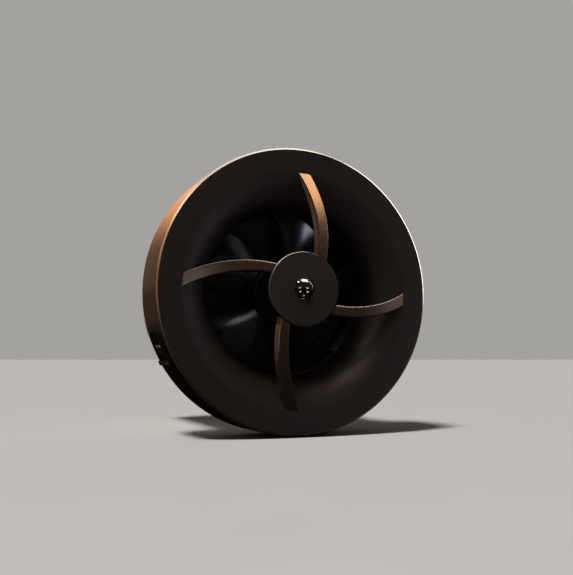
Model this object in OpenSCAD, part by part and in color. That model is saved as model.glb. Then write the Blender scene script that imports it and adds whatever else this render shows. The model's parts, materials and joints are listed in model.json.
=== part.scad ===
// Through-wall heat recovery unit: a round indoor unit with a bellmouth and
// four curved guide vanes, a reversible axial fan, and a telescopic wall
// sleeve that holds a ceramic heat store between two filters.
// Millimetres. The unit's axis is Y: the room side is -Y, outdoors is +Y,
// and y = 0 is the wall surface behind the wall plate.

/* [Indoor unit] */
// Outside diameter at the wall
shell_d_wall = 218; // [216:0.5:220]
// Outside diameter at the front rim
shell_d_front = 217; // [216:0.5:218]
// Wall surface to the plane of the front rim
shell_depth = 46.5; // [45.5:0.5:48]
// Rounding of the front rim
rim_round = 1.5; // [1:0.1:2]
// Wall thickness of the round cover
shell_wall = 2.2; // [1.8:0.1:2.6]

/* [Bellmouth] */
// Diameter of the crease between the face ring and the bellmouth
crease_d = 180; // [176:1:184]
// Throat diameter at the fan
throat_d = 129; // [128:0.5:130]
// Slope of the bellmouth just inside the crease, in degrees
crease_slope = 12; // [8:1:16]
// Thickness of the bellmouth wall
bell_wall = 2.2; // [1.8:0.1:2.6]

/* [Vanes and hub] */
// Number of curved guide vanes
vane_n = 4; // [3:1:4]
// Radius of the bulging edge of a vane
vane_out_r = 110.8; // [110:0.1:112]
// Radius of the hollow edge of a vane
vane_in_r = 106.5; // [106:0.1:107]
// Diameter of the circle that the vane tips end on
vane_tip_d = 179.4; // [176:0.2:180]
// Diameter of the hub disc
hub_d = 55.8; // [54:0.2:58]
// Height of the hub face over the rim plane
hub_rise = 10.4; // [10:0.1:11]
// Diameter of the sensor dome
lens_d = 15; // [13:0.5:16]
// Height of the sensor dome over the hub face
lens_rise = 3; // [2:0.5:4]

/* [Fan] */
// Number of fan blades
blade_n = 5; // [4:1:6]
// Diameter over the blade tips
fan_d = 126.6; // [124:0.2:126.8]
// Diameter of the fan hub
fan_hub_d = 51; // [50:0.5:52]
// Turn of the first blade, in degrees
fan_turn = 69; // [0:1:71]

/* [Side switch] */
// Angle of the switch window's middle, anticlockwise from the right
switch_a = 204.2; // [202:0.2:206]
// Height of the window over the wall
window_h = 29; // [27:0.5:30]
// Width of the window round the side
window_w = 25.6; // [25:0.2:27]

/* [Sleeve] */
// Outside diameter of the outdoor tube
sleeve_d = 158; // [157.6:0.1:158.4]
// Wall surface to the outdoor end, pushed fully in
sleeve_end = 150; // [149:1:152]
// Length of the indoor tube behind the wall surface
inner_len = 132; // [130:1:133]

/* [Heat store] */
// Diameter of the ceramic block
core_d = 121; // [119:0.5:121]
// Length of the ceramic block
core_len = 88; // [80:1:89]
// Pitch of its square channels
cell_pitch = 6.5; // [6:0.5:8]
// Width of one channel
cell_w = 5; // [4.5:0.1:5.2]

/* [Wall plate] */
// Circle of the wall screws
wall_pcd = 188; // [186:0.5:189]
// Diameter of a wall screw hole
wall_hole_d = 4.5; // [4:0.1:5]

/* [Hidden] */

$fn = 96;
e = 0.01;
shell_r = shell_d_wall / 2;
front_r = shell_d_front / 2;
crease_r = crease_d / 2;
throat_r = throat_d / 2;
hub_r = hub_d / 2;
hub_z = shell_depth + hub_rise;
tip_r = vane_tip_d / 2;
lens_r = lens_d / 2;
fan_r = fan_d / 2;
fan_hub_r = fan_hub_d / 2;
sleeve_r = sleeve_d / 2;

// Bellmouth: one arc from the crease to the upright throat.
crease_z = shell_depth - 0.7;
bell_rad = (crease_r - throat_r) / (1 - sin(crease_slope));
bell_cx = throat_r + bell_rad;
bell_cz = crease_z - bell_rad * cos(crease_slope);
bell_end = 12.4;

// Vane: two nearly parallel arcs, and a domed front.
vane_out_c = [-90.7, 42];
vane_in_c = [-94.4, 39.4];
dome_rise = 10.2;
dome_run = 61.5;
dome_rad = dome_run * dome_run / (2 * dome_rise);
dome_top = shell_depth + 10.1;
vane_deep = 9.5;
back_rise = 5.2;
back_rad = dome_run * dome_run / (2 * back_rise);

// Levels over the wall surface.
plate_t = 3;
board_z = 7;
board_t = 1.6;
cap_t = 3;
lug_z = 27.3;

// Fan levels: negative is inside the wall.
tube_r = throat_r;
tube_wall = 2.5;
hub_front = 17.5;
hub_back = -5;
cup_top = 9.6;
shaft_r = 1.46;
bearing_bore = 1.5;

// Ducting.
spigot_r = 74.95;
inner_r = 75;
inner_out = 76.8;
outer_in = 77.2;

// Everything is drawn with z out of the wall and y up, then stood up.
module face() rotate([90, 0, 0]) children();

// A flat ring between two radii and two levels.
module ring(r1, r2, z1, z2) {
    translate([0, 0, z1]) difference() {
        cylinder(r = r2, h = z2 - z1);
        translate([0, 0, -1]) cylinder(r = r1, h = z2 - z1 + 2);
    }
}

// A ring sector between two angles.
module sector(r1, r2, z1, z2, a1, a2) {
    rotate([0, 0, a1]) rotate_extrude(angle = a2 - a1)
        translate([r1, z1]) square([r2 - r1, z2 - z1]);
}

// Moves its children to a radius and an angle.
module at(r, a, z = 0) rotate([0, 0, a]) translate([r, 0, z]) children();

// A screw standing on its head's seat at z = 0, head towards +z.
module screw(r, len, head_r, head_h) {
    difference() {
        union() {
            translate([0, 0, -len]) cylinder(r = r, h = len + e);
            cylinder(r = head_r, h = head_h * 0.5);
            translate([0, 0, head_h * 0.5 - e]) cylinder(r1 = head_r, r2 = head_r * 0.72, h = head_h * 0.5);
        }
        for (a = [0, 90]) rotate([0, 0, a])
            translate([-head_r * 0.55, -head_r * 0.11, head_h * 0.45])
                cube([head_r * 1.1, head_r * 0.22, head_h]);
    }
}

// ---------------------------------------------------------------- cover

// Round cover: drafted side wall, rounded rim, and the switch window.
module outer_shell() color([0.10, 0.09, 0.085]) face() {
    difference() {
        union() {
            rotate_extrude() difference() {
                union() {
                    polygon([[front_r - shell_wall, 0.6], [shell_r, 0.6],
                        [front_r, shell_depth - rim_round],
                        [front_r - rim_round, shell_depth - rim_round + e],
                        [front_r - shell_wall, shell_depth - rim_round]]);
                    intersection() {
                        translate([front_r - rim_round, shell_depth - rim_round])
                            circle(r = rim_round);
                        translate([front_r - rim_round, shell_depth - 10]) square(20);
                    }
                }
                translate([front_r - 20, shell_depth - 2.5])
                    square([20 - 1.6, 10]);
            }
            // Lugs for the screws that hold the bellmouth ring.
            for (a = [0 : 90 : 270]) intersection() {
                at(92, a, lug_z) translate([0, -5, 0]) cube([16, 10, 2.7]);
                cylinder(r = front_r - 1, h = 60);
            }
            // Posts that carry the holding magnets.
            for (a = [45 : 90 : 315]) difference() {
                intersection() {
                    union() {
                        at(99.5, a, 11.9) cylinder(r = 4.6, h = 18);
                        at(100, a, 11.9) translate([0, -1.2, 0]) cube([9, 2.4, 18]);
                    }
                    cylinder(r = front_r - 1, h = 60);
                }
                at(99.5, a, 11) cylinder(r = 3.02, h = 3.9);
            }
        }
        for (a = [0 : 90 : 270]) at(98, a, 20) cylinder(r = 1.7, h = 20);
        // Switch window, open at the wall side, with rounded far corners.
        rotate([0, 0, switch_a]) translate([90, 0, 0]) rotate([90, 0, 90])
            linear_extrude(30) union() {
                translate([-window_w / 2, -2]) square([window_w, window_h + 2 - 2]);
                translate([-window_w / 2 + 2, 0]) square([window_w - 4, window_h]);
                for (s = [-1, 1]) translate([s * (window_w / 2 - 2), window_h - 2]) circle(r = 2);
            }
    }
}

// Solid of revolution whose front is the face ring and the bellmouth,
// lowered by a distance along the surface normal.
module bell_solid(off) {
    rotate_extrude() union() {
        // the arc
        intersection() {
            translate([bell_cx, bell_cz]) circle(r = bell_rad - off);
            translate([throat_r, bell_end - 2]) square([bell_cx - throat_r, 60]);
        }
        translate([throat_r + off, bell_end - 2]) square([20, bell_cz - bell_end + 2]);
        // the face ring
        polygon([[bell_cx - (bell_rad - off) * sin(crease_slope), bell_end - 2],
            [bell_cx - (bell_rad - off) * sin(crease_slope), bell_cz + (bell_rad - off) * cos(crease_slope)],
            [106.7, shell_depth - 0.2 - off], [106.7, bell_end - 2]]);
    }
}

// Face ring and bellmouth in one moulding.
module bell_ring() color([0.09, 0.08, 0.075]) face() {
    difference() {
        union() {
            difference() {
                intersection() {
                    bell_solid(0);
                    ring(throat_r - 1, 120, bell_end, 60);
                    cylinder(r = 106.1, h = 60);
                }
                bell_solid(bell_wall);
            }
            // outer edge that drops into the rim, and its skirt
            difference() {
                intersection() {
                    bell_solid(0);
                    ring(103.4, 106.7, shell_depth - 2.4, 60);
                }
            }
            ring(103.9, 106.1, 33, shell_depth - 2.3);
            // bosses for the shell screws
            for (a = [0 : 90 : 270]) at(98, a, 30.1) cylinder(r = 3.6, h = 14.2);
            // bracket that carries the plug
            at(86, 262, 32) translate([-3.2, -6.5, 0]) cube([6.4, 13, 11]);
        }
        for (a = [0 : 90 : 270]) at(98, a, 29) cylinder(r = 1.5, h = 12);
        // holes for the pegs under the vane tips
        for (k = [0 : vane_n - 1]) rotate([0, 0, k * 360 / vane_n])
            at(86.5, 86.8, 38) cylinder(r = 1.5, h = 12);
        // way through for the sensor lead, beside the bottom vane
        at(82, 264.3, 30) cylinder(r = 2.4, h = 20);
        at(82, 264.3, 30) translate([0, -2.4, 0]) cube([6, 4.8, 13.4]);
    }
}

// Plan of the top vane.
module vane_2d(r_in = 26.4, r_out = 89.7, grow = 0) {
    intersection() {
        difference() {
            translate(vane_out_c) circle(r = vane_out_r + grow);
            translate(vane_in_c) circle(r = vane_in_r - grow);
        }
        difference() { circle(r = r_out); circle(r = r_in); }
        translate([-6, 17]) square([46, 80]);
    }
}

// Everything behind the domed front of the vanes, and behind their backs.
module dome(rise, rad, top) {
    rotate_extrude() intersection() {
        translate([28, top - rad]) circle(r = rad);
        translate([0, 20]) square([95, 60]);
    }
}

// Four vanes on one hub cup.
module vane_spider() color([0.13, 0.11, 0.10]) face() {
    difference() {
        union() {
            for (k = [0 : vane_n - 1]) rotate([0, 0, k * 360 / vane_n])
                difference() {
                    intersection() {
                        translate([0, 0, 30]) linear_extrude(40) vane_2d(26.4, tip_r);
                        difference() {
                            dome(dome_rise, dome_rad, dome_top);
                            dome(back_rise, back_rad, dome_top - vane_deep);
                        }
                    }
                    bell_solid(0);
                    translate([0, 0, hub_z - cap_t]) cylinder(r = hub_r + 0.05, h = 20);
                }
            // pegs into the bellmouth
            for (k = [0 : vane_n - 1]) rotate([0, 0, k * 360 / vane_n])
                at(86.5, 86.8, 41.5) cylinder(r = 1.45, h = 4.4);
            // hub cup
            difference() {
                translate([0, 0, 44]) cylinder(r = hub_r - 0.3, h = hub_z - cap_t - 44);
                translate([0, 0, 45.6]) cylinder(r = hub_r - 2, h = 20);
            }
            // posts for the sensor board
            for (a = [30, 150, 270]) at(17, a, 45) cylinder(r = 2, h = 4);
        }
        // groove in the back of the bottom vane for the sensor lead
        rotate([0, 0, 180]) difference() {
            translate([0, 0, 30]) linear_extrude(40) intersection() {
                difference() {
                    translate([-92.6, 40.7]) circle(r = 110.1);
                    translate([-92.6, 40.7]) circle(r = 107.1);
                }
                difference() { circle(r = 95); circle(r = 22); }
                translate([-6, 14]) square([46, 90]);
            }
            translate([0, 0, 0]) difference() {
                cylinder(r = 200, h = 100);
                dome(back_rise, back_rad, dome_top - vane_deep + 1.5);
            }
        }
    }
}

// Plain disc that closes the hub, with a softly rounded edge.
module hub_cap() color([0.14, 0.125, 0.12]) face() {
    difference() {
        union() {
            rotate_extrude() union() {
                translate([lens_r + 0.8, hub_z - cap_t]) square([hub_r - lens_r - 0.8 - 0.8, cap_t]);
                translate([hub_r - 1.6, hub_z - cap_t]) square([1.6, cap_t - 0.8]);
                translate([hub_r - 0.8, hub_z - 0.8]) circle(r = 0.8);
            }
            ring(hub_r - 3.6, hub_r - 2.1, hub_z - cap_t - 3, hub_z - cap_t + 0.5);
        }
    }
}

// Thin ring round the sensor dome.
module sensor_bezel() color([0.05, 0.05, 0.05]) face() {
    rotate_extrude() union() {
        translate([lens_r + 0.05, hub_z - 2.6]) square([0.7, 2.8]);
        translate([lens_r - 0.6, hub_z - 2.6]) square([1, 0.9]);
    }
}

// Smoked dome over the sensor.
module sensor_lens() color([0.08, 0.07, 0.07, 0.6]) face() {
    ball = (lens_r * lens_r + lens_rise * lens_rise) / (2 * lens_rise);
    difference() {
        intersection() {
            translate([0, 0, hub_z + lens_rise - ball]) sphere(r = ball);
            translate([0, 0, hub_z - 1.6]) cylinder(r = lens_r, h = 10);
        }
        intersection() {
            translate([0, 0, hub_z + lens_rise - ball]) sphere(r = ball - 1.1);
            translate([0, 0, hub_z - 2]) cylinder(r = lens_r - 1.1, h = 10);
        }
    }
}

// Small round board in the hub, with its light sensor and contact pads.
module sensor_board() color([0.05, 0.25, 0.16]) face() {
    difference() {
        union() {
            translate([0, 0, 49]) cylinder(r = 22, h = 1.4);
            translate([-4, -4, 50.4 - e]) cube([8, 8, 1.2]);
            translate([8, 3, 50.4 - e]) cube([6, 4, 1]);
            translate([-15, -3, 50.4 - e]) cube([5, 7, 1.2]);
        }
        for (a = [30, 150, 270]) at(17, a, 45) cylinder(r = 1, h = 10);
    }
}

// Four pale lamps round one amber lamp, under the dome.
module status_lamps() color([0.95, 0.85, 0.7]) face() {
    for (p = [[-2.8, 1.6], [2.8, 1.6], [-2.2, -1.6], [3.2, -1.6], [0, -3.6]])
        translate([p[0], p[1], 51.6]) union() {
            cylinder(r = 0.8, h = 3.6, $fn = 24);
            translate([0, 0, 3.6]) sphere(r = 0.8, $fn = 24);
        }
}

// Flat lead in the back of the bottom vane, then down to the plug.
module sensor_lead() color([0.7, 0.68, 0.62]) face() {
    rotate([0, 0, 180]) intersection() {
        translate([0, 0, 30]) linear_extrude(40) intersection() {
            difference() {
                translate([-92.6, 40.7]) circle(r = 109.9);
                translate([-92.6, 40.7]) circle(r = 107.3);
            }
            difference() { circle(r = 82.9); circle(r = 24.3); }
            translate([-6, 14]) square([46, 90]);
        }
        difference() {
            dome(back_rise, back_rad, dome_top - vane_deep + 1.2);
            dome(back_rise, back_rad, dome_top - vane_deep + 0.3);
        }
    }
    at(82, 264.3, 29.5) translate([-0.6, -1.3, 0]) cube([1.2, 2.6, 13.5]);
}

// Plug half of the contact between the cover and the board.
module cover_plug() color([0.9, 0.88, 0.82]) face() {
    at(86, 262, 26) difference() {
        translate([-3, -6, 0]) cube([6, 12, 6]);
        for (y = [-3.9, -1.3, 1.3, 3.9]) translate([0, y, -1]) cylinder(r = 0.5, h = 6, $fn = 24);
    }
}

// Its four pins.
module plug_pins() color([0.85, 0.7, 0.35]) face() {
    at(86, 262, 20) for (y = [-3.9, -1.3, 1.3, 3.9])
        translate([0, y, 0]) cylinder(r = 0.48, h = 10.5, $fn = 24);
}

// Holding magnets in the cover's posts.
module cover_magnets() color("silver") face()
    for (a = [45 : 90 : 315]) at(99.5, a, 11.9) cylinder(r = 3, h = 3);

// Screws from behind that hold the bellmouth ring in the cover.
module shell_screws() color([0.5, 0.5, 0.52]) face()
    for (a = [0 : 90 : 270]) at(98, a, lug_z) mirror([0, 0, 1]) screw(1.45, 11, 2.8, 2);

// ------------------------------------------------------------ wall plate

// Ring that is screwed to the wall, with the duct spigot behind it.
module wall_plate() color([0.10, 0.095, 0.085]) face() {
    difference() {
        union() {
            // the face that lies on the wall stays clear of the sleeve's end
            difference() {
                ring(72.6, 105.4, 0, plate_t);
                ring(70, 77.3, -1, 0.6);
            }
            difference() {
                ring(103.6, 105.4, plate_t - e, 9.5);
                // the rim stops at the switch
                rotate([0, 0, switch_a]) translate([95, -window_w / 2 - 0.6, plate_t])
                    cube([20, window_w + 1.2, 20]);
            }
            // tongue that closes the foot of the cover's window
            intersection() {
                rotate([0, 0, switch_a]) translate([98, -window_w / 2 + 0.5, 0])
                    cube([14, window_w - 1, plate_t]);
                cylinder(r = 108.6, h = plate_t);
            }
            // key that stands in the lower end of the cover's window
            rotate([0, 0, switch_a]) translate([0, window_w / 2 - 0.5, 0]) rotate([90, 0, 0])
                linear_extrude(3.6) {
                    translate([99.4, plate_t - e]) square([8.8, 23.6 + e]);
                    translate([99.4, plate_t - e]) square([10.6, 21.8 + e]);
                    translate([108.2, plate_t + 21.8]) circle(r = 1.8);
                }
            ring(72.6, spigot_r, -13, 0.6 + e);
            // posts under the cover's magnets
            for (a = [45 : 90 : 315]) at(99.5, a, plate_t - e) cylinder(r = 4, h = 8.4 + e);
            // posts under the circuit board
            for (p = [[87, 245.5], [98.5, 247], [87, 285.5], [98.5, 284]])
                at(p[0], p[1], plate_t - e) cylinder(r = 2.4, h = board_z - plate_t + e);
            // posts for the control cover
            for (a = [239.5, 304.5]) at(95, a, plate_t - e) cylinder(r = 3, h = 17.8 + e);
            // stiffening ribs
            for (a = [15, 105, 165]) at(84, a, plate_t - e) translate([0, -0.8, 0]) cube([19.8, 1.6, 4]);
        }
        for (a = [70 : 120 : 310]) at(wall_pcd / 2, a, -1) cylinder(d = wall_hole_d, h = 10);
        for (a = [45 : 90 : 315]) at(99.5, a, 8.4) cylinder(r = 3.02, h = 5);
        for (a = [20 : 90 : 290]) at(79, a, 0.4) cylinder(r = 1.3, h = 5);
        for (p = [[87, 245.5], [98.5, 247], [87, 285.5], [98.5, 284]])
            at(p[0], p[1], 1.5) cylinder(r = 1, h = 8);
        for (a = [239.5, 304.5]) at(95, a, 10) cylinder(r = 1.3, h = 14);
        at(91.2, 296, -1) cylinder(r = 6.5, h = 8);
        ring(98, 102, -1, 1.2);
    }
}

// Foam ring let into the back of the wall plate.
module wall_gasket() color([0.2, 0.2, 0.2]) face() ring(98.1, 101.9, 0, 1.2);

// Magnets in the wall plate's posts.
module plate_magnets() color("silver") face()
    for (a = [45 : 90 : 315]) at(99.5, a, 8.4) cylinder(r = 3, h = 3);

// Fan duct with its flange, four struts and the motor seat.
module fan_housing() color([0.16, 0.16, 0.17]) face() {
    difference() {
        union() {
            ring(tube_r, tube_r + tube_wall, -14, 11.8);
            ring(tube_r + 1, 83, plate_t + 0.02, plate_t + 2.2);
            for (a = [0 : 90 : 270]) rotate([0, 0, a])
                translate([20, -2.5, -14]) cube([tube_r - 19, 5, 4]);
            translate([0, 0, -14]) cylinder(r = 24, h = 3);
            translate([0, 0, -14]) cylinder(r = 7, h = 5);
        }
        translate([0, 0, -12.8]) cylinder(r = 5.22, h = 10);
        for (a = [20 : 90 : 290]) at(79, a, 0) cylinder(r = 1.7, h = 10);
        // ways for the motor lead: through the duct wall and the flange
        rotate([0, 0, 270]) translate([60, -1.6, -10]) cube([9, 3.2, 22]);
        rotate([0, 0, 270]) translate([66, -2.5, 2]) cube([8, 5, 5]);
    }
}

// Screws that hold the fan housing to the wall plate.
module fan_screws() color([0.6, 0.6, 0.62]) face()
    for (a = [20 : 90 : 290]) at(79, a, plate_t + 2.2) screw(1.25, 4.6, 2.8, 1.8);

// Brass tube that holds both bearings.
module bearing_tube() color([0.80, 0.62, 0.30]) face() {
    difference() {
        translate([0, 0, -12.8]) cylinder(r = 5.2, h = 20.8);
        translate([0, 0, -12]) cylinder(r = 4, h = 30);
    }
}

// Shielded ball bearing with recessed shields.
module bearing(z) {
    difference() {
        ring(bearing_bore, 3.98, z, z + 4);
        ring(2.2, 3.3, z + 3.7, z + 5);
        ring(2.2, 3.3, z - 1, z + 0.3);
    }
}
module bearing_front() color([0.75, 0.76, 0.78]) face() bearing(3.5);
module bearing_rear() color([0.75, 0.76, 0.78]) face() bearing(-9.5);

// Six-pole laminated stator.
module stator_core() color([0.45, 0.46, 0.48]) face() {
    translate([0, 0, -3.5]) linear_extrude(7) difference() {
        union() {
            circle(r = 8.6);
            for (a = [0 : 60 : 300]) rotate(a) translate([6, -1.8]) square([9, 3.6]);
            difference() {
                circle(r = 17.6);
                circle(r = 14.6);
                for (a = [30 : 60 : 330]) rotate(a) translate([10, -1.6]) square([12, 3.2]);
            }
        }
        circle(r = 5.25);
    }
}

// A copper winding on each pole.
module stator_coils() color([0.72, 0.38, 0.18]) face() {
    for (a = [0 : 60 : 300]) rotate([0, 0, a]) difference() {
        translate([9.8, -3.5, -5.3]) cube([4.1, 7, 10.6]);
        translate([9, -1.9, -3.6]) cube([6, 3.8, 7.2]);
    }
}

// Ring board with the motor driver.
module motor_board() color([0.06, 0.28, 0.16]) face() {
    difference() {
        union() {
            ring(5.6, 20.5, -9.9, -8.7);
            at(14, 40, -8.7 - e) translate([-2.5, -2.5, 0]) cube([5, 5, 1.2]);
            at(15, 150, -8.7 - e) translate([-1.5, -2, 0]) cube([3, 4, 1.2]);
            at(15, 215, -8.7 - e) translate([-1.5, -1, 0]) cube([3, 2, 1]);
            for (a = [100, 330]) at(18, a, -11) cylinder(r = 1.2, h = 1.2);
        }
        ring(0, 7.1, -20, -9.0);
        rotate([0, 0, 270]) translate([18.4, -2, -12]) cube([5, 4, 6]);
    }
}

// Round lead swept along points in one upright plane, [radius, level].
function unit(v) = v / norm(v);
function tangent(p, i) = unit(p[min(i + 1, len(p) - 1)] - p[max(i - 1, 0)]);
module lead_in_plane(p, r, sides = 8) {
    n = len(p);
    pts = [for (i = [0 : n - 1]) let (t = tangent(p, i), m = [-t[1], t[0]])
        for (k = [0 : sides - 1]) let (a = 360 * k / sides)
            [p[i][0] + r * cos(a) * m[0], r * sin(a), p[i][1] + r * cos(a) * m[1]]];
    faces = concat(
        [[for (k = [0 : sides - 1]) k]],
        [[for (k = [0 : sides - 1]) (n - 1) * sides + sides - 1 - k]],
        [for (i = [0 : n - 2]) for (k = [0 : sides - 1])
            let (a = i * sides + k, b = i * sides + (k + 1) % sides)
                each [[a, a + sides, b + sides], [a, b + sides, b]]]);
    polyhedron(points = pts, faces = faces, convexity = 6);
}

// Motor lead: along a strut, through the duct wall, and up to the board.
lead_points = [[18.6, -8.8], [26, -8.8], [36, -8.8], [46, -8.8], [56, -8.8],
    [63, -8.8], [66.5, -8.3], [68.9, -6.6], [69.9, -4], [69.9, 0], [69.9, 4],
    [69.9, 8], [70.5, 10.2], [72.2, 11.4], [75, 11.6]];
module motor_lead() color([0.12, 0.12, 0.13]) face()
    rotate([0, 0, 270]) lead_in_plane(lead_points, 1.1);

// Circuit board under the control cover.
module main_board() color([0.05, 0.30, 0.17]) face() {
    difference() {
        sector(75.4, 101, board_z, board_z + board_t, 243, 288.6);
        for (p = [[87, 245.5], [98.5, 247], [87, 285.5], [98.5, 284]])
            at(p[0], p[1], 0) cylinder(r = 1.25, h = 20);
    }
}

module board_screws() color([0.7, 0.7, 0.72]) face()
    for (p = [[87, 245.5], [98.5, 247], [87, 285.5], [98.5, 284]])
        at(p[0], p[1], board_z + board_t) screw(0.98, 6, 2, 1.4);

// Mains power module, a potted block.
module power_module() color([0.07, 0.07, 0.08]) face()
    at(91.5, 252.5, board_z + board_t) difference() {
        translate([-7, -5, 0]) cube([14, 11, 10]);
        translate([-5.6, -3.6, 9.6]) cube([11.2, 8.2, 1]);
    }

// Electrolytic capacitor lying beside it.
module main_capacitor() color([0.10, 0.12, 0.35]) face()
    at(80.5, 254, board_z + board_t) difference() {
        cylinder(r = 3.9, h = 10.5);
        for (a = [0, 90]) rotate([0, 0, a]) translate([-2, -0.2, 10.2]) cube([4, 0.4, 1]);
    }

// Three-way terminal block at the cable end of the board.
module terminal_block() color([0.12, 0.38, 0.22]) face()
    at(89, 279.5, board_z + board_t) difference() {
        translate([-7.5, -4.5, 0]) cube([15, 8, 9]);
        for (x = [-5, 0, 5]) {
            translate([x, -0.8, 4]) cylinder(r = 1.9, h = 9);
            translate([x - 1.7, 1, 1]) cube([3.4, 6, 3.4]);
        }
    }

module terminal_screws() color([0.75, 0.75, 0.78]) face()
    at(89, 279.5, board_z + board_t + 4) for (x = [-5, 0, 5])
        translate([x, -0.8, 0]) difference() {
            cylinder(r = 1.85, h = 3.2);
            translate([-1.5, -0.25, 2.4]) cube([3, 0.5, 2]);
        }

// Rubber grommet in the cable hole of the wall plate.
module cable_grommet() color([0.08, 0.08, 0.08]) face() {
    at(91.2, 296, 0) difference() {
        union() {
            translate([0, 0, 0.1]) cylinder(r = 6.45, h = 5);
            translate([0, 0, plate_t + 0.02]) cylinder(r = 8, h = 2);
        }
        translate([0, 0, -1]) cylinder(r = 3.6, h = 12);
    }
}

// Bar that clamps the supply cable, with its two screws.
module cable_clamp() color([0.75, 0.75, 0.73]) face() {
    at(91.2, 288.9, board_z + 1.6) difference() {
        translate([-8, 0.3, 0]) cube([16, 4.2, 5]);
        translate([0, 10, 2.2]) rotate([90, 0, 0]) cylinder(r = 3.2, h = 20);
        translate([-3.2, -5, -2]) cube([6.4, 20, 4.2]);
        for (x = [-5.8, 5.8]) translate([x, 2.2, -1]) cylinder(r = 1.3, h = 10);
    }
    at(91.2, 288.9, board_z + 1.6) for (x = [-5.8, 5.8]) translate([x, 2.2, -5.58]) difference() {
        cylinder(r = 2.1, h = 5.6);
        translate([0, 0, -1]) cylinder(r = 1.3, h = 10);
    }
}

module clamp_screws() color([0.7, 0.7, 0.72]) face()
    at(91.2, 288.9, board_z + 6.6) for (x = [-5.8, 5.8])
        translate([x, 2.2, 0]) screw(1.25, 10, 2.2, 1.4);

// Socket that takes the cover's pins.
module board_socket() color([0.88, 0.86, 0.80]) face()
    at(86, 262, board_z + board_t) difference() {
        translate([-3.4, -6.6, 0]) cube([6.8, 13.2, 16.9]);
        for (y = [-3.9, -1.3, 1.3, 3.9]) translate([0, y, 9]) cylinder(r = 0.9, h = 12, $fn = 24);
    }

// Plug of the motor lead on the board.
module motor_plug() color([0.9, 0.9, 0.86]) face()
    rotate([0, 0, 270]) translate([75.02, -4, board_z + board_t]) difference() {
        cube([6, 8, 5]);
        translate([1, 1, 4.4]) cube([4, 6, 1]);
    }

// Cover over the live parts.
module control_cover() color([0.13, 0.13, 0.14]) face() {
    difference() {
        sector(73.6, 102.6, 5.6, 22, 236.6, 307.4);
        sector(75.0, 101.7 - 0.3, 4, 20.8, 237.6, 306.4);
        for (a = [239.5, 304.5]) at(95, a, 10) cylinder(r = 1.7, h = 20);
        // window for the socket
        at(86, 262, 10) translate([-4, -7.2, 0]) cube([8, 14.4, 20]);
        // way for the motor lead
        rotate([0, 0, 270]) translate([70, -4.6, 4]) cube([8, 9.2, 11]);
        // way for the switch lead
        at(88.7, 237, 8.8) translate([-2.9, -3, 0]) cube([5.8, 6, 3.2]);
        // cooling slots
        for (a = [244 : 3 : 256]) sector(82, 96, 19, 24, a, a + 1.2);
    }
}

module control_screws() color([0.6, 0.6, 0.62]) face()
    for (a = [239.5, 304.5]) at(95, a, 22) screw(1.25, 10, 2.8, 1.8);

// Rocker switch body and bezel in the side window. The rocker sits a little
// above the middle of the window, and the wall plate's key fills the rest.
sw_r = 107.8;
rock_shift = -1.2;
pivot_in = 4.4;
module switch_frame(shift = 0) rotate([0, 0, switch_a]) translate([sw_r, shift, 0]) children();
module rocker_frame() switch_frame(rock_shift) translate([-pivot_in, 0, 0]) children();
module switch_body() color([0.09, 0.085, 0.08]) face() {
    difference() {
        union() {
            // face panel
            switch_frame() translate([-2, -window_w / 2 + 0.4, plate_t + 0.02])
                cube([2, window_w / 2 - 0.4 + 6.4, window_h - 0.9 - plate_t]);
            // bezel round the rocker
            switch_frame(rock_shift) translate([-2, -9.6, plate_t + 0.02]) cube([2.8, 19.2, 24.4]);
            // body behind, lower at the back
            switch_frame(rock_shift) translate([-10.6, -9.2, plate_t + 0.02]) cube([9.6, 18.4, 24]);
            switch_frame(rock_shift) translate([-21.4, -9.2, plate_t + 0.02]) cube([16, 18.4, 16]);
        }
        // rocker well
        rocker_frame() translate([-4.4, -8.4, 4.8]) cube([12, 16.8, 20.8]);
        // pin holes
        rocker_frame() translate([0, 0, 3.8]) cylinder(r = 0.8, h = 22.8, $fn = 24);
    }
    // contact blades
    switch_frame(rock_shift) for (y = [-5, 0, 5]) translate([-24.4, y - 0.4, 8]) cube([4, 0.8, 4.8]);
}

// Two-core lead from the switch to the board.
module switch_lead() color([0.55, 0.12, 0.10]) face() {
    for (r = [87.5, 89.9]) rotate([0, 0, 209.6]) rotate_extrude(angle = 33)
        translate([r, 10.4]) circle(r = 1.1, $fn = 24);
}

// Rocker, tilted so that its lower half stands out. Its ends are arcs about
// the pin.
rock_tilt = 9;
module rocker_button() color([0.12, 0.11, 0.10]) face() rocker_frame() rotate([0, 0, -rock_tilt]) {
    difference() {
        translate([0, 0, 5.2]) linear_extrude(20) intersection() {
            circle(r = 8);
            polygon([[-2, -8], [4.9, -8], [4.9, -6], [3.6, -1.2], [3.3, -1.2], [3.3, 0.6],
                [3.6, 0.6], [4.9, 6], [4.9, 8], [-2, 8]]);
        }
        translate([0, 0, 0]) cylinder(r = 0.75, h = 30, $fn = 24);
    }
}

// Pale bar across the middle of the rocker.
module rocker_mark() color([0.9, 0.86, 0.82]) face() rocker_frame() rotate([0, 0, -rock_tilt])
    translate([3.3, -1.18, 5.2]) cube([1.1, 1.76, 20]);

// Steel pin that the rocker turns on.
module rocker_pin() color([0.7, 0.7, 0.72]) face() rocker_frame()
    translate([0, 0, 3.9]) cylinder(r = 0.7, h = 22.5, $fn = 24);

// ----------------------------------------------------------------- rotor

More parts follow.
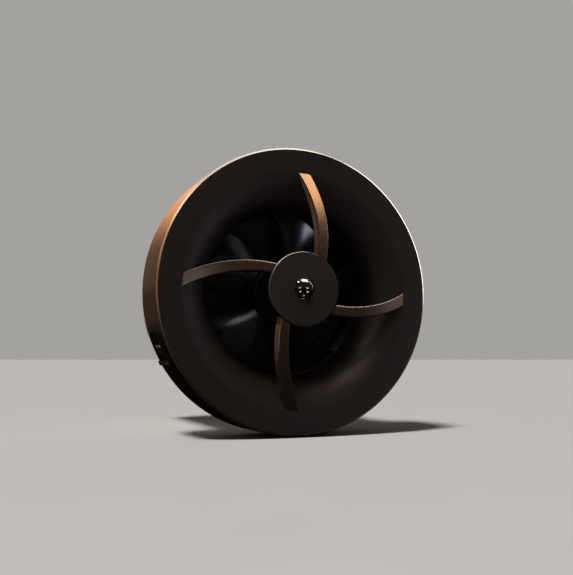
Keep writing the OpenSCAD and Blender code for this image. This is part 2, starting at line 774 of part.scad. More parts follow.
// One blade, swept between radii by pitch and chord that follow the radius.
blade_steps = 8;
blade_side = 7;
function blade_r(i) = fan_hub_r - 1.2 + (fan_r - fan_hub_r + 1.2) * i / blade_steps;
function blade_u(i) = (blade_r(i) - fan_hub_r) / (fan_r - fan_hub_r);
function blade_chord(u) = 27 + 25 * u - 4 * u * u;
function blade_pitch(u) = 42 - 21 * u;
function blade_lean(u) = -4 * u + 13 * u * u;
function blade_thick(u, s) = (2.4 - 1.0 * u) * sqrt(max(0, sin(180 * s))) + 0.35;
function blade_camber(s) = 2.6 * sin(180 * s);
function blade_point(i, s, side) = let (
        u = blade_u(i), c = blade_chord(u), b = blade_pitch(u), r = blade_r(i),
        along = (s - 0.5) * c, up = blade_camber(s) + side * blade_thick(u, s) / 2,
        t = along * cos(b) - up * sin(b), z = along * sin(b) + up * cos(b),
        a = blade_lean(u) + t / r * 57.29578)
    [r * cos(a), r * sin(a), z];
function blade_ring(i) = concat(
    [for (j = [0 : blade_side]) blade_point(i, j / blade_side, 1)],
    [for (j = [blade_side : -1 : 0]) blade_point(i, j / blade_side, -1)]);
module blade() {
    m = 2 * (blade_side + 1);
    pts = [for (i = [0 : blade_steps]) for (p = blade_ring(i)) p];
    // Each four-sided patch is split the same way on both sides of the blade.
    faces = [
        for (j = [0 : blade_side - 1]) each [[m - 1 - j, m - 2 - j, j + 1], [m - 1 - j, j + 1, j]],
        for (j = [0 : blade_side - 1]) let (o = blade_steps * m)
            each [[o + j, o + j + 1, o + m - 2 - j], [o + j, o + m - 2 - j, o + m - 1 - j]],
        for (i = [0 : blade_steps - 1]) for (j = [0 : m - 1])
            let (a = i * m + j, b = i * m + (j + 1) % m)
                each j <= blade_side ? [[b, b + m, a], [b + m, a + m, a]]
                    : [[b, b + m, a + m], [b, a + m, a]]];
    polyhedron(points = pts, faces = faces, convexity = 8);
}

// Fan wheel: blades on a hollow hub.
module impeller() color([0.14, 0.14, 0.15]) face() rotate([0, 0, fan_turn]) {
    difference() {
        rotate_extrude() union() {
            translate([0, hub_back]) square([fan_hub_r, hub_front - hub_back - 2]);
            translate([0, hub_back]) square([fan_hub_r - 2, hub_front - hub_back]);
            translate([fan_hub_r - 2, hub_front - 2]) circle(r = 2);
        }
        difference() {
            translate([0, 0, -40]) cylinder(r = 22.15, h = 40 + hub_front - 1.8);
            translate([0, 0, cup_top + 0.02]) difference() {
                cylinder(r = 6, h = 10);
                translate([0, 0, -1]) cylinder(r = 2, h = 4);
            }
            for (a = [0 : 60 : 300]) rotate([0, 0, a]) translate([4, -0.7, cup_top + 0.02])
                cube([20, 1.4, 10]);
        }
        translate([0, 0, hub_front - 0.6]) cylinder(r = 5, h = 2);
    }
    for (k = [0 : blade_n - 1]) rotate([0, 0, k * 360 / blade_n])
        translate([0, 0, 5.6]) blade();
}

// Steel rotor cup with the boss that grips the shaft.
module rotor_cup() color([0.62, 0.63, 0.65]) face() {
    difference() {
        union() {
            ring(21.05, 22.1, -4.6, cup_top);
            translate([0, 0, cup_top - 1.1]) cylinder(r = 22.1, h = 1.1);
            translate([0, 0, cup_top - 1.6]) cylinder(r = 3.4, h = 2.6 - 1);
        }
        translate([0, 0, -20]) cylinder(r = shaft_r, h = 40);
    }
}

// Ring magnet inside the cup.
module rotor_magnet() color([0.25, 0.25, 0.27]) face() ring(18.3, 21.03, -4.4, 7.4);

module motor_shaft() color([0.8, 0.81, 0.83]) face() {
    difference() {
        translate([0, 0, -11.4]) cylinder(r = shaft_r, h = 22.4);
        ring(1.05, 3, -10.7, -10.2);
    }
}

// Clip in the shaft's groove.
module shaft_clip() color([0.4, 0.41, 0.43]) face() difference() {
    ring(1.08, 2.9, -10.68, -10.22);
    translate([0, -0.7, -12]) cube([6, 1.4, 4]);
}

// ---------------------------------------------------------------- ducting

// Indoor tube on the spigot, with a stop ring at its far end.
module inner_sleeve() color([0.86, 0.86, 0.84]) face() {
    difference() {
        union() {
            ring(inner_r, inner_out, -inner_len, 0.4);
            ring(71, inner_out, -inner_len, -inner_len + 2.5);
        }
        ring(76.2, 90, -126.5, -122.5);
    }
}

// Rubber ring between the two tubes.
module sleeve_seal() color([0.06, 0.06, 0.06]) face()
    rotate_extrude() intersection() {
        translate([76.25, -126.2]) square([0.65, 3.4]);
        union() {
            translate([76.2, -126.2]) square([0.4, 3.4]);
            for (z = [-125.5, -123.5]) translate([76.3, z]) circle(r = 0.6, $fn = 32);
        }
    }

// Two half shells of insulation round the ceramic block.
core_front = -20.5;
module core_half(s) {
    intersection() {
        union() {
            ring(core_d / 2 + 0.2, 74.7, core_front - core_len - 5, core_front);
            ring(core_d / 2 - 3.4, 74.7, core_front - 2, core_front);
            ring(core_d / 2 - 3.4, 74.7, core_front - core_len - 5, core_front - core_len - 3);
        }
        translate([-100, s > 0 ? 0.1 : -100.1, -130]) cube([200, 100, 130]);
    }
}
module core_shell_upper() color([0.30, 0.31, 0.33]) face() core_half(1);
module core_shell_lower() color([0.30, 0.31, 0.33]) face() core_half(-1);

// Ceramic block with straight square channels.
module ceramic_core() color([0.78, 0.74, 0.68]) face() {
    n = floor((core_d / 2 - 3) / cell_pitch);
    translate([0, 0, core_front - core_len - 2.5]) linear_extrude(core_len) difference() {
        circle(d = core_d);
        for (i = [-n : n]) for (j = [-n : n])
            if (norm([i, j]) * cell_pitch + cell_w * 0.75 < core_d / 2 - 1.2)
                translate([i * cell_pitch - cell_w / 2, j * cell_pitch - cell_w / 2])
                    square(cell_w);
    }
}

// Filter frame: ring, cross and finger tab.
module filter_frame(z) {
    difference() {
        union() {
            ring(70.5, 74.6, z, z + 4.8);
            for (a = [0, 90]) rotate([0, 0, a]) translate([-71.5, -1.2, z]) cube([143, 2.4, 1]);
            translate([0, 0, z]) cylinder(r = 7, h = 1);
        }
    }
}
module filter_frame_front() color([0.12, 0.12, 0.13]) face() filter_frame(-19.9);
module filter_frame_rear() color([0.12, 0.12, 0.13]) face() filter_frame(-120.8);

// Filter pads.
module filter_pad_front() color([0.08, 0.08, 0.085]) face()
    translate([0, 0, -18.85]) cylinder(r = 70.4, h = 3.6);
module filter_pad_rear() color([0.08, 0.08, 0.085]) face()
    translate([0, 0, -119.75]) cylinder(r = 70.4, h = 3.6);

// Outdoor tube that slides over the indoor one.
module outer_sleeve() color([0.84, 0.84, 0.82]) face() {
    difference() {
        ring(outer_in, sleeve_r, -sleeve_end, -12);
        // fixing slots near the outdoor end
        for (a = [90, 210, 330]) at(70, a, -sleeve_end + 6) rotate([0, 90, 0])
            cylinder(r = 1.3, h = 20, $fn = 24);
    }
}

// Louvred grille pressed into the outdoor end.
module outdoor_grille() color([0.74, 0.74, 0.73]) face() {
    union() {
        ring(73.4, outer_in - 0.04, -sleeve_end + 0.3, -sleeve_end + 12);
        intersection() {
            translate([0, 0, -sleeve_end + 0.6]) cylinder(r = 74, h = 11);
            union() {
                for (y = [-66 : 12 : 66]) translate([-80, y, -sleeve_end + 6.3])
                    rotate([45, 0, 0]) translate([0, -6.4, -0.8]) cube([160, 12.8, 1.6]);
                for (x = [-37, 0, 37]) translate([x - 1, -80, -sleeve_end + 3]) cube([2, 160, 7.6]);
            }
        }
    }
}

// Insect mesh behind the louvres.
module insect_mesh() color([0.5, 0.51, 0.52]) face() {
    translate([0, 0, -sleeve_end + 12.05]) linear_extrude(0.8) difference() {
        circle(r = 76.6);
        for (i = [-9 : 9]) for (j = [-9 : 9])
            if (norm([i, j]) * 8 + 4.9 < 73.2)
                translate([i * 8 - 3.5, j * 8 - 3.5]) square(7);
    }
}

outer_shell();
bell_ring();
vane_spider();
hub_cap();
sensor_bezel();
sensor_lens();
sensor_board();
status_lamps();
sensor_lead();
cover_plug();
plug_pins();
cover_magnets();
shell_screws();
wall_plate();
wall_gasket();
plate_magnets();
fan_housing();
fan_screws();
bearing_tube();
bearing_front();
bearing_rear();
stator_core();
stator_coils();
motor_board();
motor_lead();
main_board();
board_screws();
power_module();
main_capacitor();
terminal_block();
terminal_screws();
cable_grommet();
cable_clamp();
clamp_screws();
board_socket();
motor_plug();
control_cover();
control_screws();
switch_body();
switch_lead();
inner_sleeve();
sleeve_seal();
core_shell_upper();
core_shell_lower();
ceramic_core();
filter_frame_front();
filter_pad_front();
filter_frame_rear();
filter_pad_rear();
impeller();
rotor_cup();
rotor_magnet();
motor_shaft();
shaft_clip();
rocker_button();
rocker_mark();
rocker_pin();
outer_sleeve();
outdoor_grille();
insect_mesh();
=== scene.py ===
import json
import math
import random

import bmesh
import bpy
import numpy as np
from mathutils import Matrix, Vector

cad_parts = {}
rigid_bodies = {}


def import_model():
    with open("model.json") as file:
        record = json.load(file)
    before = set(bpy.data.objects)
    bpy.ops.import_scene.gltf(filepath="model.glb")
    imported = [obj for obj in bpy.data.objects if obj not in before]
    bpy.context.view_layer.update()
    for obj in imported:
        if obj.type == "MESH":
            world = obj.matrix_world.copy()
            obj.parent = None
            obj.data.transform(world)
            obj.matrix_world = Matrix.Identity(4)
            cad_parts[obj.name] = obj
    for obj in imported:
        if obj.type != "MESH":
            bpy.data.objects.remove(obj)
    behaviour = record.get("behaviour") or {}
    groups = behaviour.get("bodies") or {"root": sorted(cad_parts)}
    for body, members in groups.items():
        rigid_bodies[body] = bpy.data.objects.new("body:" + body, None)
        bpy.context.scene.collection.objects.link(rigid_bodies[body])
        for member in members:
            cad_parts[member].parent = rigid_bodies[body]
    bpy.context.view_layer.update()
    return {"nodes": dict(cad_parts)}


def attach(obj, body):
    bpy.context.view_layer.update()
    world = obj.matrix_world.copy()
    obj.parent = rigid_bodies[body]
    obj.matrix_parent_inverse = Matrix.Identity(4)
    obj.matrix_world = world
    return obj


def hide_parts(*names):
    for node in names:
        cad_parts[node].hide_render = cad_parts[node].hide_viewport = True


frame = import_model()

nodes = frame["nodes"]
scene = bpy.context.scene
MM = 0.001

# The unit's main sizes, in millimetres. Shapes are drawn with z out of the
# wall, x right and y up, as in the CAD source, and stood up by P().
R_WALL, R_FRONT, DEPTH, RIM = 109.0, 108.5, 46.5, 1.5
CREASE_R, THROAT_R = 90.0, 64.5
SLOPE = math.radians(12)
CREASE_Z = DEPTH - 0.7
BELL_R = (CREASE_R - THROAT_R) / (1 - math.sin(SLOPE))
BELL_CX = THROAT_R + BELL_R
BELL_CZ = CREASE_Z - BELL_R * math.cos(SLOPE)
BELL_END = 12.4
HUB_R, HUB_Z, LENS_R, LENS_RISE = 27.9, 56.9, 7.5, 3.0
VANE_OUT, VANE_OUT_R = (-90.7, 42.0), 110.8
VANE_IN, VANE_IN_R = (-94.4, 39.4), 106.5
TIP_R = 89.7
DOME_TOP, DOME_RAD = 56.6, 61.5 ** 2 / 20.4
BACK_TOP, BACK_RAD = 47.1, 61.5 ** 2 / 10.4
SWITCH_A, SW_R, ROCK_SHIFT, PIVOT_IN = math.radians(204.2), 107.8, -1.2, 4.4
SLEEVE_END = 150.0
FAN_TURN = 69.0


def P(x, y, z):
    return (x * MM, -z * MM, y * MM)


# ------------------------------------------------------------- mesh tools

def rounded(corners, n=5, support=0.12, closed=True):
    """Polyline through (u, v, fillet) corners, with arcs at the corners and
    support points close to them."""
    m = len(corners)
    out = []
    for i, c in enumerate(corners):
        p = np.array(c[:2], float)
        f = c[2] if len(c) > 2 else 0.0
        if f <= 0 or (not closed and i in (0, m - 1)):
            out.append(p)
            continue
        a = np.array(corners[(i - 1) % m][:2], float) - p
        b = np.array(corners[(i + 1) % m][:2], float) - p
        la, lb = np.linalg.norm(a), np.linalg.norm(b)
        u, v = a / la, b / lb
        ang = math.acos(max(-1, min(1, float(u @ v))))
        if ang > math.pi - 1e-3:
            out.append(p)
            continue
        t = f / math.tan(ang / 2)
        tm = 0.48 * min(la, lb)
        if t > tm:
            t, f = tm, tm * math.tan(ang / 2)
        c0 = p + (u + v) / np.linalg.norm(u + v) * f / math.sin(ang / 2)
        s, e = p + u * t - c0, p + v * t - c0
        a0 = math.atan2(s[1], s[0])
        d = (math.atan2(e[1], e[0]) - a0 + math.pi) % (2 * math.pi) - math.pi
        for k in range(n + 1):
            q = a0 + d * k / n
            out.append(c0 + f * np.array([math.cos(q), math.sin(q)]))
    if support <= 0:
        return [tuple(p) for p in out]
    full = []
    count = len(out) if closed else len(out) - 1
    for i in range(len(out)):
        full.append(tuple(out[i]))
        if i < count:
            a, b = out[i], out[(i + 1) % len(out)]
            ln = np.linalg.norm(b - a)
            if ln > 4 * support:
                full.append(tuple(a + (b - a) * support / ln))
                full.append(tuple(b - (b - a) * support / ln))
    return full


def lathe(profile, seg=256, closed=True, z_sign=1):
    """(vertices, faces) of a profile of (r, z) turned about the axis."""
    m = len(profile)
    v = []
    for i in range(seg):
        a = 2 * math.pi * i / seg
        c, s = math.cos(a), math.sin(a)
        for r, z in profile:
            v.append((r * c, r * s, z * z_sign))
    f = []
    for i in range(seg):
        i2 = (i + 1) % seg
        for j in range(m if closed else m - 1):
            j2 = (j + 1) % m
            f.append((i * m + j, i2 * m + j, i2 * m + j2, i * m + j2))
    return v, f


def shift(part, dx=0, dy=0, dz=0, turn=0.0):
    """Moves a part, then turns it about the unit's axis, in degrees."""
    c, s = math.cos(math.radians(turn)), math.sin(math.radians(turn))
    out = []
    for x, y, z in part[0]:
        x, y, z = x + dx, y + dy, z + dz
        out.append((x * c - y * s, x * s + y * c, z))
    return out, part[1]


def grid_faces(rows, cols, wrap_rows=False, wrap_cols=False, start=0):
    f = []
    for i in range(rows if wrap_rows else rows - 1):
        i2 = (i + 1) % rows
        for j in range(cols if wrap_cols else cols - 1):
            j2 = (j + 1) % cols
            f.append((start + i * cols + j, start + i2 * cols + j,
                      start + i2 * cols + j2, start + i * cols + j2))
    return f


def plate(outline, z0, z1, edge=0.3, n=3, to=None):
    """A plate from a closed convex-ish outline of (x, y), with its two rims
    rounded by edge. Points are mapped by to(x, y, z) if it is given."""
    pts = np.array(outline, float)
    nxt, prv = np.roll(pts, -1, 0), np.roll(pts, 1, 0)
    d1, d2 = nxt - pts, pts - prv
    d1 /= np.linalg.norm(d1, axis=1)[:, None] + 1e-12
    d2 /= np.linalg.norm(d2, axis=1)[:, None] + 1e-12
    t = d1 + d2
    t /= np.linalg.norm(t, axis=1)[:, None] + 1e-12
    nrm = np.stack([t[:, 1], -t[:, 0]], 1)
    area = 0.5 * np.sum(pts[:, 0] * nxt[:, 1] - nxt[:, 0] * pts[:, 1])
    if area < 0:
        nrm = -nrm
    k = 1 / np.clip(np.einsum("ij,ij->i", nrm, np.stack([d1[:, 1], -d1[:, 0]], 1) * (1 if area > 0 else -1)), 0.3, 1)
    loops = []
    for q in range(n + 1):
        a = math.pi / 2 * q / n
        loops.append((edge * (1 - math.sin(a)), z0 + edge * (1 - math.cos(a))))
    for q in range(n, -1, -1):
        a = math.pi / 2 * q / n
        loops.append((edge * (1 - math.sin(a)), z1 - edge * (1 - math.cos(a))))
    verts = []
    for off, z in loops:
        for p, nn, kk in zip(pts, nrm, k):
            q = p - nn * off * kk
            verts.append((q[0], q[1], z))
    m = len(pts)
    faces = grid_faces(len(loops), m, wrap_cols=True)
    faces.append(tuple(range(m)))
    faces.append(tuple(range((len(loops) - 1) * m, len(loops) * m)))
    if to is not None:
        verts = [to(*p) for p in verts]
    return verts, faces


def tube(points, radius, sides=10, caps=True):
    """A round tube along points."""
    pts = [Vector(p) for p in points]
    n = len(pts)
    t0 = (pts[1] - pts[0]).normalized()
    up = Vector((0, 0, 1)) if abs(t0.z) < 0.9 else Vector((1, 0, 0))
    u = t0.cross(up).normalized()
    verts, prev = [], t0
    for i, p in enumerate(pts):
        t = (pts[min(i + 1, n - 1)] - pts[max(i - 1, 0)]).normalized()
        q = prev.rotation_difference(t)
        u = q @ u
        u = (u - t * u.dot(t)).normalized()
        w = t.cross(u)
        prev = t
        for k in range(sides):
            a = 2 * math.pi * k / sides
            verts.append(tuple(p + (u * math.cos(a) + w * math.sin(a)) * radius))
    faces = grid_faces(n, sides, wrap_cols=True)
    if caps:
        faces.append(tuple(range(sides)))
        faces.append(tuple(range((n - 1) * sides, n * sides)))
    return verts, faces


def build(name, parts, body, material, replaces=(), sharp=32.0, merge=1e-6):
    """One piece from closed parts, with smooth faces, sharp edges by angle,
    and an 'edge' attribute that is 1 on its convex rounded edges."""
    verts, faces = [], []
    for pv, pf in parts:
        o = len(verts)
        verts.extend(P(*p) for p in pv)
        faces.extend(tuple(o + i for i in f) for f in pf)
    me = bpy.data.meshes.new(name)
    me.from_pydata(verts, [], faces)
    me.update()
    bm = bmesh.new()
    bm.from_mesh(me)
    bmesh.ops.remove_doubles(bm, verts=bm.verts, dist=merge)
    bmesh.ops.dissolve_degenerate(bm, edges=bm.edges, dist=merge * 0.5)
    bmesh.ops.recalc_face_normals(bm, faces=bm.faces)
    finish_bm(bm, me, sharp)
    ob = bpy.data.objects.new(name, me)
    scene.collection.objects.link(ob)
    me.materials.append(material)
    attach(ob, body)
    if replaces:
        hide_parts(*replaces)
    return ob


def finish_bm(bm, me, sharp):
    lim = math.radians(sharp)
    for f in bm.faces:
        f.smooth = True
    vals = np.zeros(len(bm.verts), np.float32)
    bm.verts.ensure_lookup_table()
    bm.verts.index_update()
    for e in bm.edges:
        if len(e.link_faces) != 2:
            e.smooth = True
            continue
        a = e.calc_face_angle_signed(0.0)
        e.smooth = abs(a) < lim
        w = max(0.0, min(1.0, (math.degrees(a) - 7.0) / 9.0))
        if w > 0:
            for v in e.verts:
                vals[v.index] = max(vals[v.index], w)
    bm.to_mesh(me)
    bm.free()
    att = me.attributes.new("edge", "FLOAT", "POINT")
    att.data.foreach_set("value", vals)
    me.update()


# -------------------------------------------------------------- materials

class Tree:
    """A node tree with short helpers."""

    def __init__(self, name):
        self.mat = bpy.data.materials.new(name)
        self.mat.use_nodes = True
        self.nt = self.mat.node_tree
        self.nt.nodes.clear()
        self.out = self.nt.nodes.new("ShaderNodeOutputMaterial")
        self.b = self.nt.nodes.new("ShaderNodeBsdfPrincipled")
        self.nt.links.new(self.b.outputs[0], self.out.inputs[0])
        self.co = self.nt.nodes.new("ShaderNodeTexCoord").outputs["Object"]

    def link(self, a, b):
        self.nt.links.new(a, b)

    def noise(self, size_mm, detail=3.0, rough=0.55, stretch=None, distort=0.0):
        n = self.nt.nodes.new("ShaderNodeTexNoise")
        n.inputs["Scale"].default_value = 1000.0 / size_mm
        n.inputs["Detail"].default_value = detail
        n.inputs["Roughness"].default_value = rough
        n.inputs["Distortion"].default_value = distort
        self.link(self.mapped(stretch) if stretch else self.co, n.inputs["Vector"])
        return n.outputs["Fac"]

    def mapped(self, scale, rotation=(0, 0, 0)):
        m = self.nt.nodes.new("ShaderNodeMapping")
        m.inputs["Scale"].default_value = scale
        m.inputs["Rotation"].default_value = rotation
        self.link(self.co, m.inputs["Vector"])
        return m.outputs["Vector"]

    def voronoi(self, size_mm, feature="F1", vector=None, out="Distance"):
        n = self.nt.nodes.new("ShaderNodeTexVoronoi")
        n.feature = feature
        n.inputs["Scale"].default_value = 1000.0 / size_mm
        self.link(vector or self.co, n.inputs["Vector"])
        return n.outputs[out]

    def ramp(self, fac, stops):
        n = self.nt.nodes.new("ShaderNodeValToRGB")
        e = n.color_ramp.elements
        while len(e) < len(stops):
            e.new(0.5)
        for el, (pos, col) in zip(e, stops):
            el.position = pos
            el.color = (*col, 1) if hasattr(col, "__len__") else (col, col, col, 1)
        self.link(fac, n.inputs["Fac"])
        return n.outputs["Color"]

    def mix(self, fac, a, b):
        n = self.nt.nodes.new("ShaderNodeMix")
        n.data_type = "RGBA"
        if hasattr(fac, "links"):
            self.link(fac, n.inputs[0])
        else:
            n.inputs[0].default_value = fac
        for s, v in ((6, a), (7, b)):
            if hasattr(v, "links"):
                self.link(v, n.inputs[s])
            else:
                n.inputs[s].default_value = (*v, 1)
        return n.outputs[2]

    def math(self, op, a, b=0.0, clamp=False):
        n = self.nt.nodes.new("ShaderNodeMath")
        n.operation = op
        n.use_clamp = clamp
        for s, v in ((0, a), (1, b)):
            if hasattr(v, "links"):
                self.link(v, n.inputs[s])
            else:
                n.inputs[s].default_value = v
        return n.outputs[0]

    def span(self, fac, lo, hi):
        n = self.nt.nodes.new("ShaderNodeMapRange")
        n.inputs["To Min"].default_value = lo
        n.inputs["To Max"].default_value = hi
        self.link(fac, n.inputs["Value"])
        return n.outputs["Result"]

    def bump(self, height, strength, distance_mm, under=None):
        n = self.nt.nodes.new("ShaderNodeBump")
        n.inputs["Strength"].default_value = strength
        n.inputs["Distance"].default_value = distance_mm * MM
        self.link(height, n.inputs["Height"])
        if under is not None:
            self.link(under, n.inputs["Normal"])
        return n.outputs["Normal"]

    def edge(self):
        n = self.nt.nodes.new("ShaderNodeAttribute")
        n.attribute_name = "edge"
        return n.outputs["Fac"]

    def set(self, **kw):
        for k, v in kw.items():
            s = self.b.inputs[k.replace("_", " ")]
            if hasattr(v, "links"):
                self.link(v, s)
            else:
                s.default_value = v if not hasattr(v, "__len__") else (*v, 1)[: len(s.default_value)]
        return self


def tint(c, k):
    return tuple(min(1.0, x * k) for x in c)


def moulded(name, base, rough=0.45, grain=0.30, grain_amt=0.35, cloud=0.12,
            edge_wear_highlight=0.0, ior=1.47, spec=0.5, dust=0.0, warp=0.0, throat_shade=None):
    """Moulded plastic: fine spark-eroded grain, faint cloudiness in colour
    and gloss, and convex edges a little lighter and smoother, partly wear and
    partly a painted edge highlight. With its last argument, it darkens towards
    the axis between two radii, a painted shade where light doesn't reach."""
    t = Tree(name)
    fine = t.noise(grain, 2.0, 0.6)
    mid = t.noise(grain * 5, 3.0, 0.55)
    big = t.noise(28.0, 3.0, 0.5)
    c = t.mix(big, tint(base, 1 - cloud), tint(base, 1 + cloud))
    c = t.mix(t.span(fine, 0.0, 0.5), c, t.mix(mid, tint(base, 0.80), tint(base, 1.25)))
    r = t.math("ADD", t.span(mid, rough - 0.05, rough + 0.05), t.span(big, -0.03, 0.03))
    # edges lighter and glossier: partly wear, partly a painted edge highlight
    if edge_wear_highlight > 0:
        e = t.math("MULTIPLY", t.edge(), t.span(t.noise(3.2, 4.0, 0.7), 0.35, 1.0), clamp=True)
        c = t.mix(t.math("MULTIPLY", e, edge_wear_highlight, clamp=True), c, tint(base, 2.6))
        r = t.math("SUBTRACT", r, t.math("MULTIPLY", e, 0.10))
    if dust > 0:
        d = t.ramp(t.noise(1.1, 5.0, 0.75), [(0.62, 0.0), (0.80, 1.0)])
        c = t.mix(t.math("MULTIPLY", d, dust), c, (0.32, 0.30, 0.27))
    n = t.bump(fine, grain_amt, 0.020)
    n = t.bump(mid, grain_amt * 0.5, 0.045, n)
    if warp > 0:
        n = t.bump(t.noise(34.0, 1.0, 0.4), warp, 0.25, n)
    t.b.inputs["IOR"].default_value = ior
    t.b.inputs["Specular IOR Level"].default_value = spec
    # painted shade: colour and gloss fade towards the axis, standing in for light that doesn't reach the throat
    if throat_shade:
        flat = t.nt.nodes.new("ShaderNodeVectorMath")
        flat.operation = "MULTIPLY"
        flat.inputs[1].default_value = (1, 0, 1)
        t.link(t.nt.nodes.new("ShaderNodeTexCoord").outputs["Object"], flat.inputs[0])
        far = t.nt.nodes.new("ShaderNodeVectorMath")
        far.operation = "LENGTH"
        t.link(flat.outputs["Vector"], far.inputs[0])
        k = t.nt.nodes.new("ShaderNodeMapRange")
        k.inputs["From Min"].default_value = throat_shade[0] * MM
        k.inputs["From Max"].default_value = throat_shade[1] * MM
        k.inputs["To Min"].default_value = throat_shade[2]
        t.link(far.outputs["Value"], k.inputs["Value"])
        c = t.mix(k.outputs["Result"], tint(base, 0.1), c)
        t.set(Specular_IOR_Level=t.math("MULTIPLY", k.outputs["Result"], spec))
    t.set(Base_Color=c, Roughness=r, Normal=n)
    return t.mat


def metal(name, base, rough=0.3, brushed=None, metallic=1.0, cloud=0.12, bump=0.15):
    t = Tree(name)
    if brushed:
        line = t.noise(0.22, 2.0, 0.6, stretch=brushed)
    else:
        line = t.noise(0.35, 3.0, 0.6)
    big = t.noise(9.0, 4.0, 0.6)
    c = t.mix(line, tint(base, 1 - cloud), tint(base, 1 + cloud))
    c = t.mix(t.ramp(big, [(0.45, 0.0), (0.75, 1.0)]), c, tint(base, 0.78))
    r = t.math("ADD", t.span(line, rough - 0.07, rough + 0.07), t.span(big, -0.04, 0.06))
    t.set(Base_Color=c, Roughness=r, Normal=t.bump(line, bump, 0.012))
    t.b.inputs["Metallic"].default_value = metallic
    return t.mat


def board(name):
    """Circuit board: solder mask with copper tracks under it and pads."""
    t = Tree(name)
    v = t.nt.nodes.new("ShaderNodeTexBrick")
    v.offset = 0.37
    v.inputs["Scale"].default_value = 330
    v.inputs["Mortar Size"].default_value = 0.16
    v.inputs["Mortar Smooth"].default_value = 0.2
    v.inputs["Color1"].default_value = (0, 0, 0, 1)
    v.inputs["Color2"].default_value = (0, 0, 0, 1)
    v.inputs["Mortar"].default_value = (1, 1, 1, 1)
    v.inputs["Brick Width"].default_value = 1.9
    t.link(t.mapped((1, 1, 1), (math.radians(90), 0, math.radians(0))), v.inputs["Vector"])
    pads = t.ramp(t.voronoi(3.1), [(0.10, 1.0), (0.13, 0.0)])
    big = t.noise(12.0, 3.0, 0.5)
    mask = t.mix(big, (0.012, 0.11, 0.055), (0.020, 0.155, 0.075))
    c = t.mix(v.outputs["Color"], mask, (0.035, 0.21, 0.095))
    c = t.mix(pads, c, (0.62, 0.56, 0.42))
    r = t.mix(pads, (0.30, 0.30, 0.30), (0.42, 0.42, 0.42))
    t.set(Base_Color=c, Roughness=r, Normal=t.bump(v.outputs["Color"], 0.35, 0.03))
    return t.mat


def felt(name, base):
    """Non-woven filter felt: crossing fibres and soft, darker lumps."""
    t = Tree(name)
    f1 = t.noise(0.16, 2.0, 0.6, stretch=(1.0, 1.0, 0.14))
    f2 = t.noise(0.16, 2.0, 0.6, stretch=(0.14, 1.0, 1.0))
    f = t.math("MAXIMUM", f1, f2)
    lump = t.noise(3.2, 4.0, 0.6)
    c = t.mix(t.ramp(f, [(0.42, 0.0), (0.68, 1.0)]), tint(base, 0.62), tint(base, 1.25))
    c = t.mix(t.ramp(lump, [(0.45, 0.0), (0.75, 0.6)]), c, tint(base, 0.70))
    n = t.bump(f, 0.8, 0.10)
    n = t.bump(lump, 0.6, 0.5, n)
    t.set(Base_Color=c, Roughness=t.span(f, 0.88, 1.0), Normal=n)
    t.b.inputs["Sheen Weight"].default_value = 0.25
    t.b.inputs["Sheen Roughness"].default_value = 0.6
    return t.mat


def beads(name, base):
    """Expanded bead foam: packed cells with darker seams."""
    t = Tree(name)
    d = t.voronoi(3.0, "DISTANCE_TO_EDGE")
    seam = t.ramp(d, [(0.0, 0.0), (0.10, 1.0)])
    fine = t.noise(0.5, 3.0, 0.6)
    c = t.mix(seam, tint(base, 0.45), t.mix(fine, tint(base, 0.85), tint(base, 1.2)))
    n = t.bump(seam, 0.5, 0.20)
    n = t.bump(fine, 0.3, 0.05, n)
    t.set(Base_Color=c, Roughness=t.span(fine, 0.6, 0.8), Normal=n)
    return t.mat


def fired(name, base):
    """Fired ceramic: sandy grain with darker specks."""
    t = Tree(name)
    g = t.noise(0.30, 4.0, 0.7)
    big = t.noise(16.0, 4.0, 0.6)
    sp = t.ramp(t.voronoi(1.3), [(0.05, 1.0), (0.12, 0.0)])
    c = t.mix(big, tint(base, 0.86), tint(base, 1.10))
    c = t.mix(t.span(g, 0.0, 0.6), c, tint(base, 0.78))
    c = t.mix(t.math("MULTIPLY", sp, 0.5), c, tint(base, 0.45))
    t.set(Base_Color=c, Roughness=t.span(g, 0.75, 0.95), Normal=t.bump(g, 0.6, 0.06))
    return t.mat


def windings(name):
    """Enamelled wire: close turns round each coil."""
    t = Tree(name)
    w = t.nt.nodes.new("ShaderNodeTexWave")
    w.wave_type = "RINGS"
    w.rings_direction = "Y"
    w.inputs["Scale"].default_value = 620
    w.inputs["Distortion"].default_value = 0.4
    w.inputs["Detail"].default_value = 1.0
    t.link(t.co, w.inputs["Vector"])
    c = t.mix(w.outputs["Fac"], (0.28, 0.075, 0.025), (0.72, 0.26, 0.095))
    t.set(Base_Color=c, Roughness=t.span(t.noise(1.2), 0.22, 0.40), Normal=t.bump(w.outputs["Fac"], 0.9, 0.10))
    t.b.inputs["Metallic"].default_value = 0.75
    t.b.inputs["Coat Weight"].default_value = 0.4
    return t.mat


def laminations(name):
    """Stacked steel sheets: thin lines across the thickness."""
    t = Tree(name)
    w = t.nt.nodes.new("ShaderNodeTexWave")
    w.wave_type = "BANDS"
    w.bands_direction = "Y"
    w.inputs["Scale"].default_value = 320
    w.inputs["Distortion"].default_value = 0.15
    t.link(t.co, w.inputs["Vector"])
    big = t.noise(6.0, 4.0, 0.6)
    c = t.mix(w.outputs["Fac"], (0.10, 0.10, 0.105), (0.36, 0.36, 0.375))
    c = t.mix(t.ramp(big, [(0.5, 0.0), (0.8, 0.7)]), c, (0.20, 0.15, 0.12))
    t.set(Base_Color=c, Roughness=t.span(big, 0.35, 0.55), Normal=t.bump(w.outputs["Fac"], 0.7, 0.06))
    t.b.inputs["Metallic"].default_value = 0.9
    return t.mat


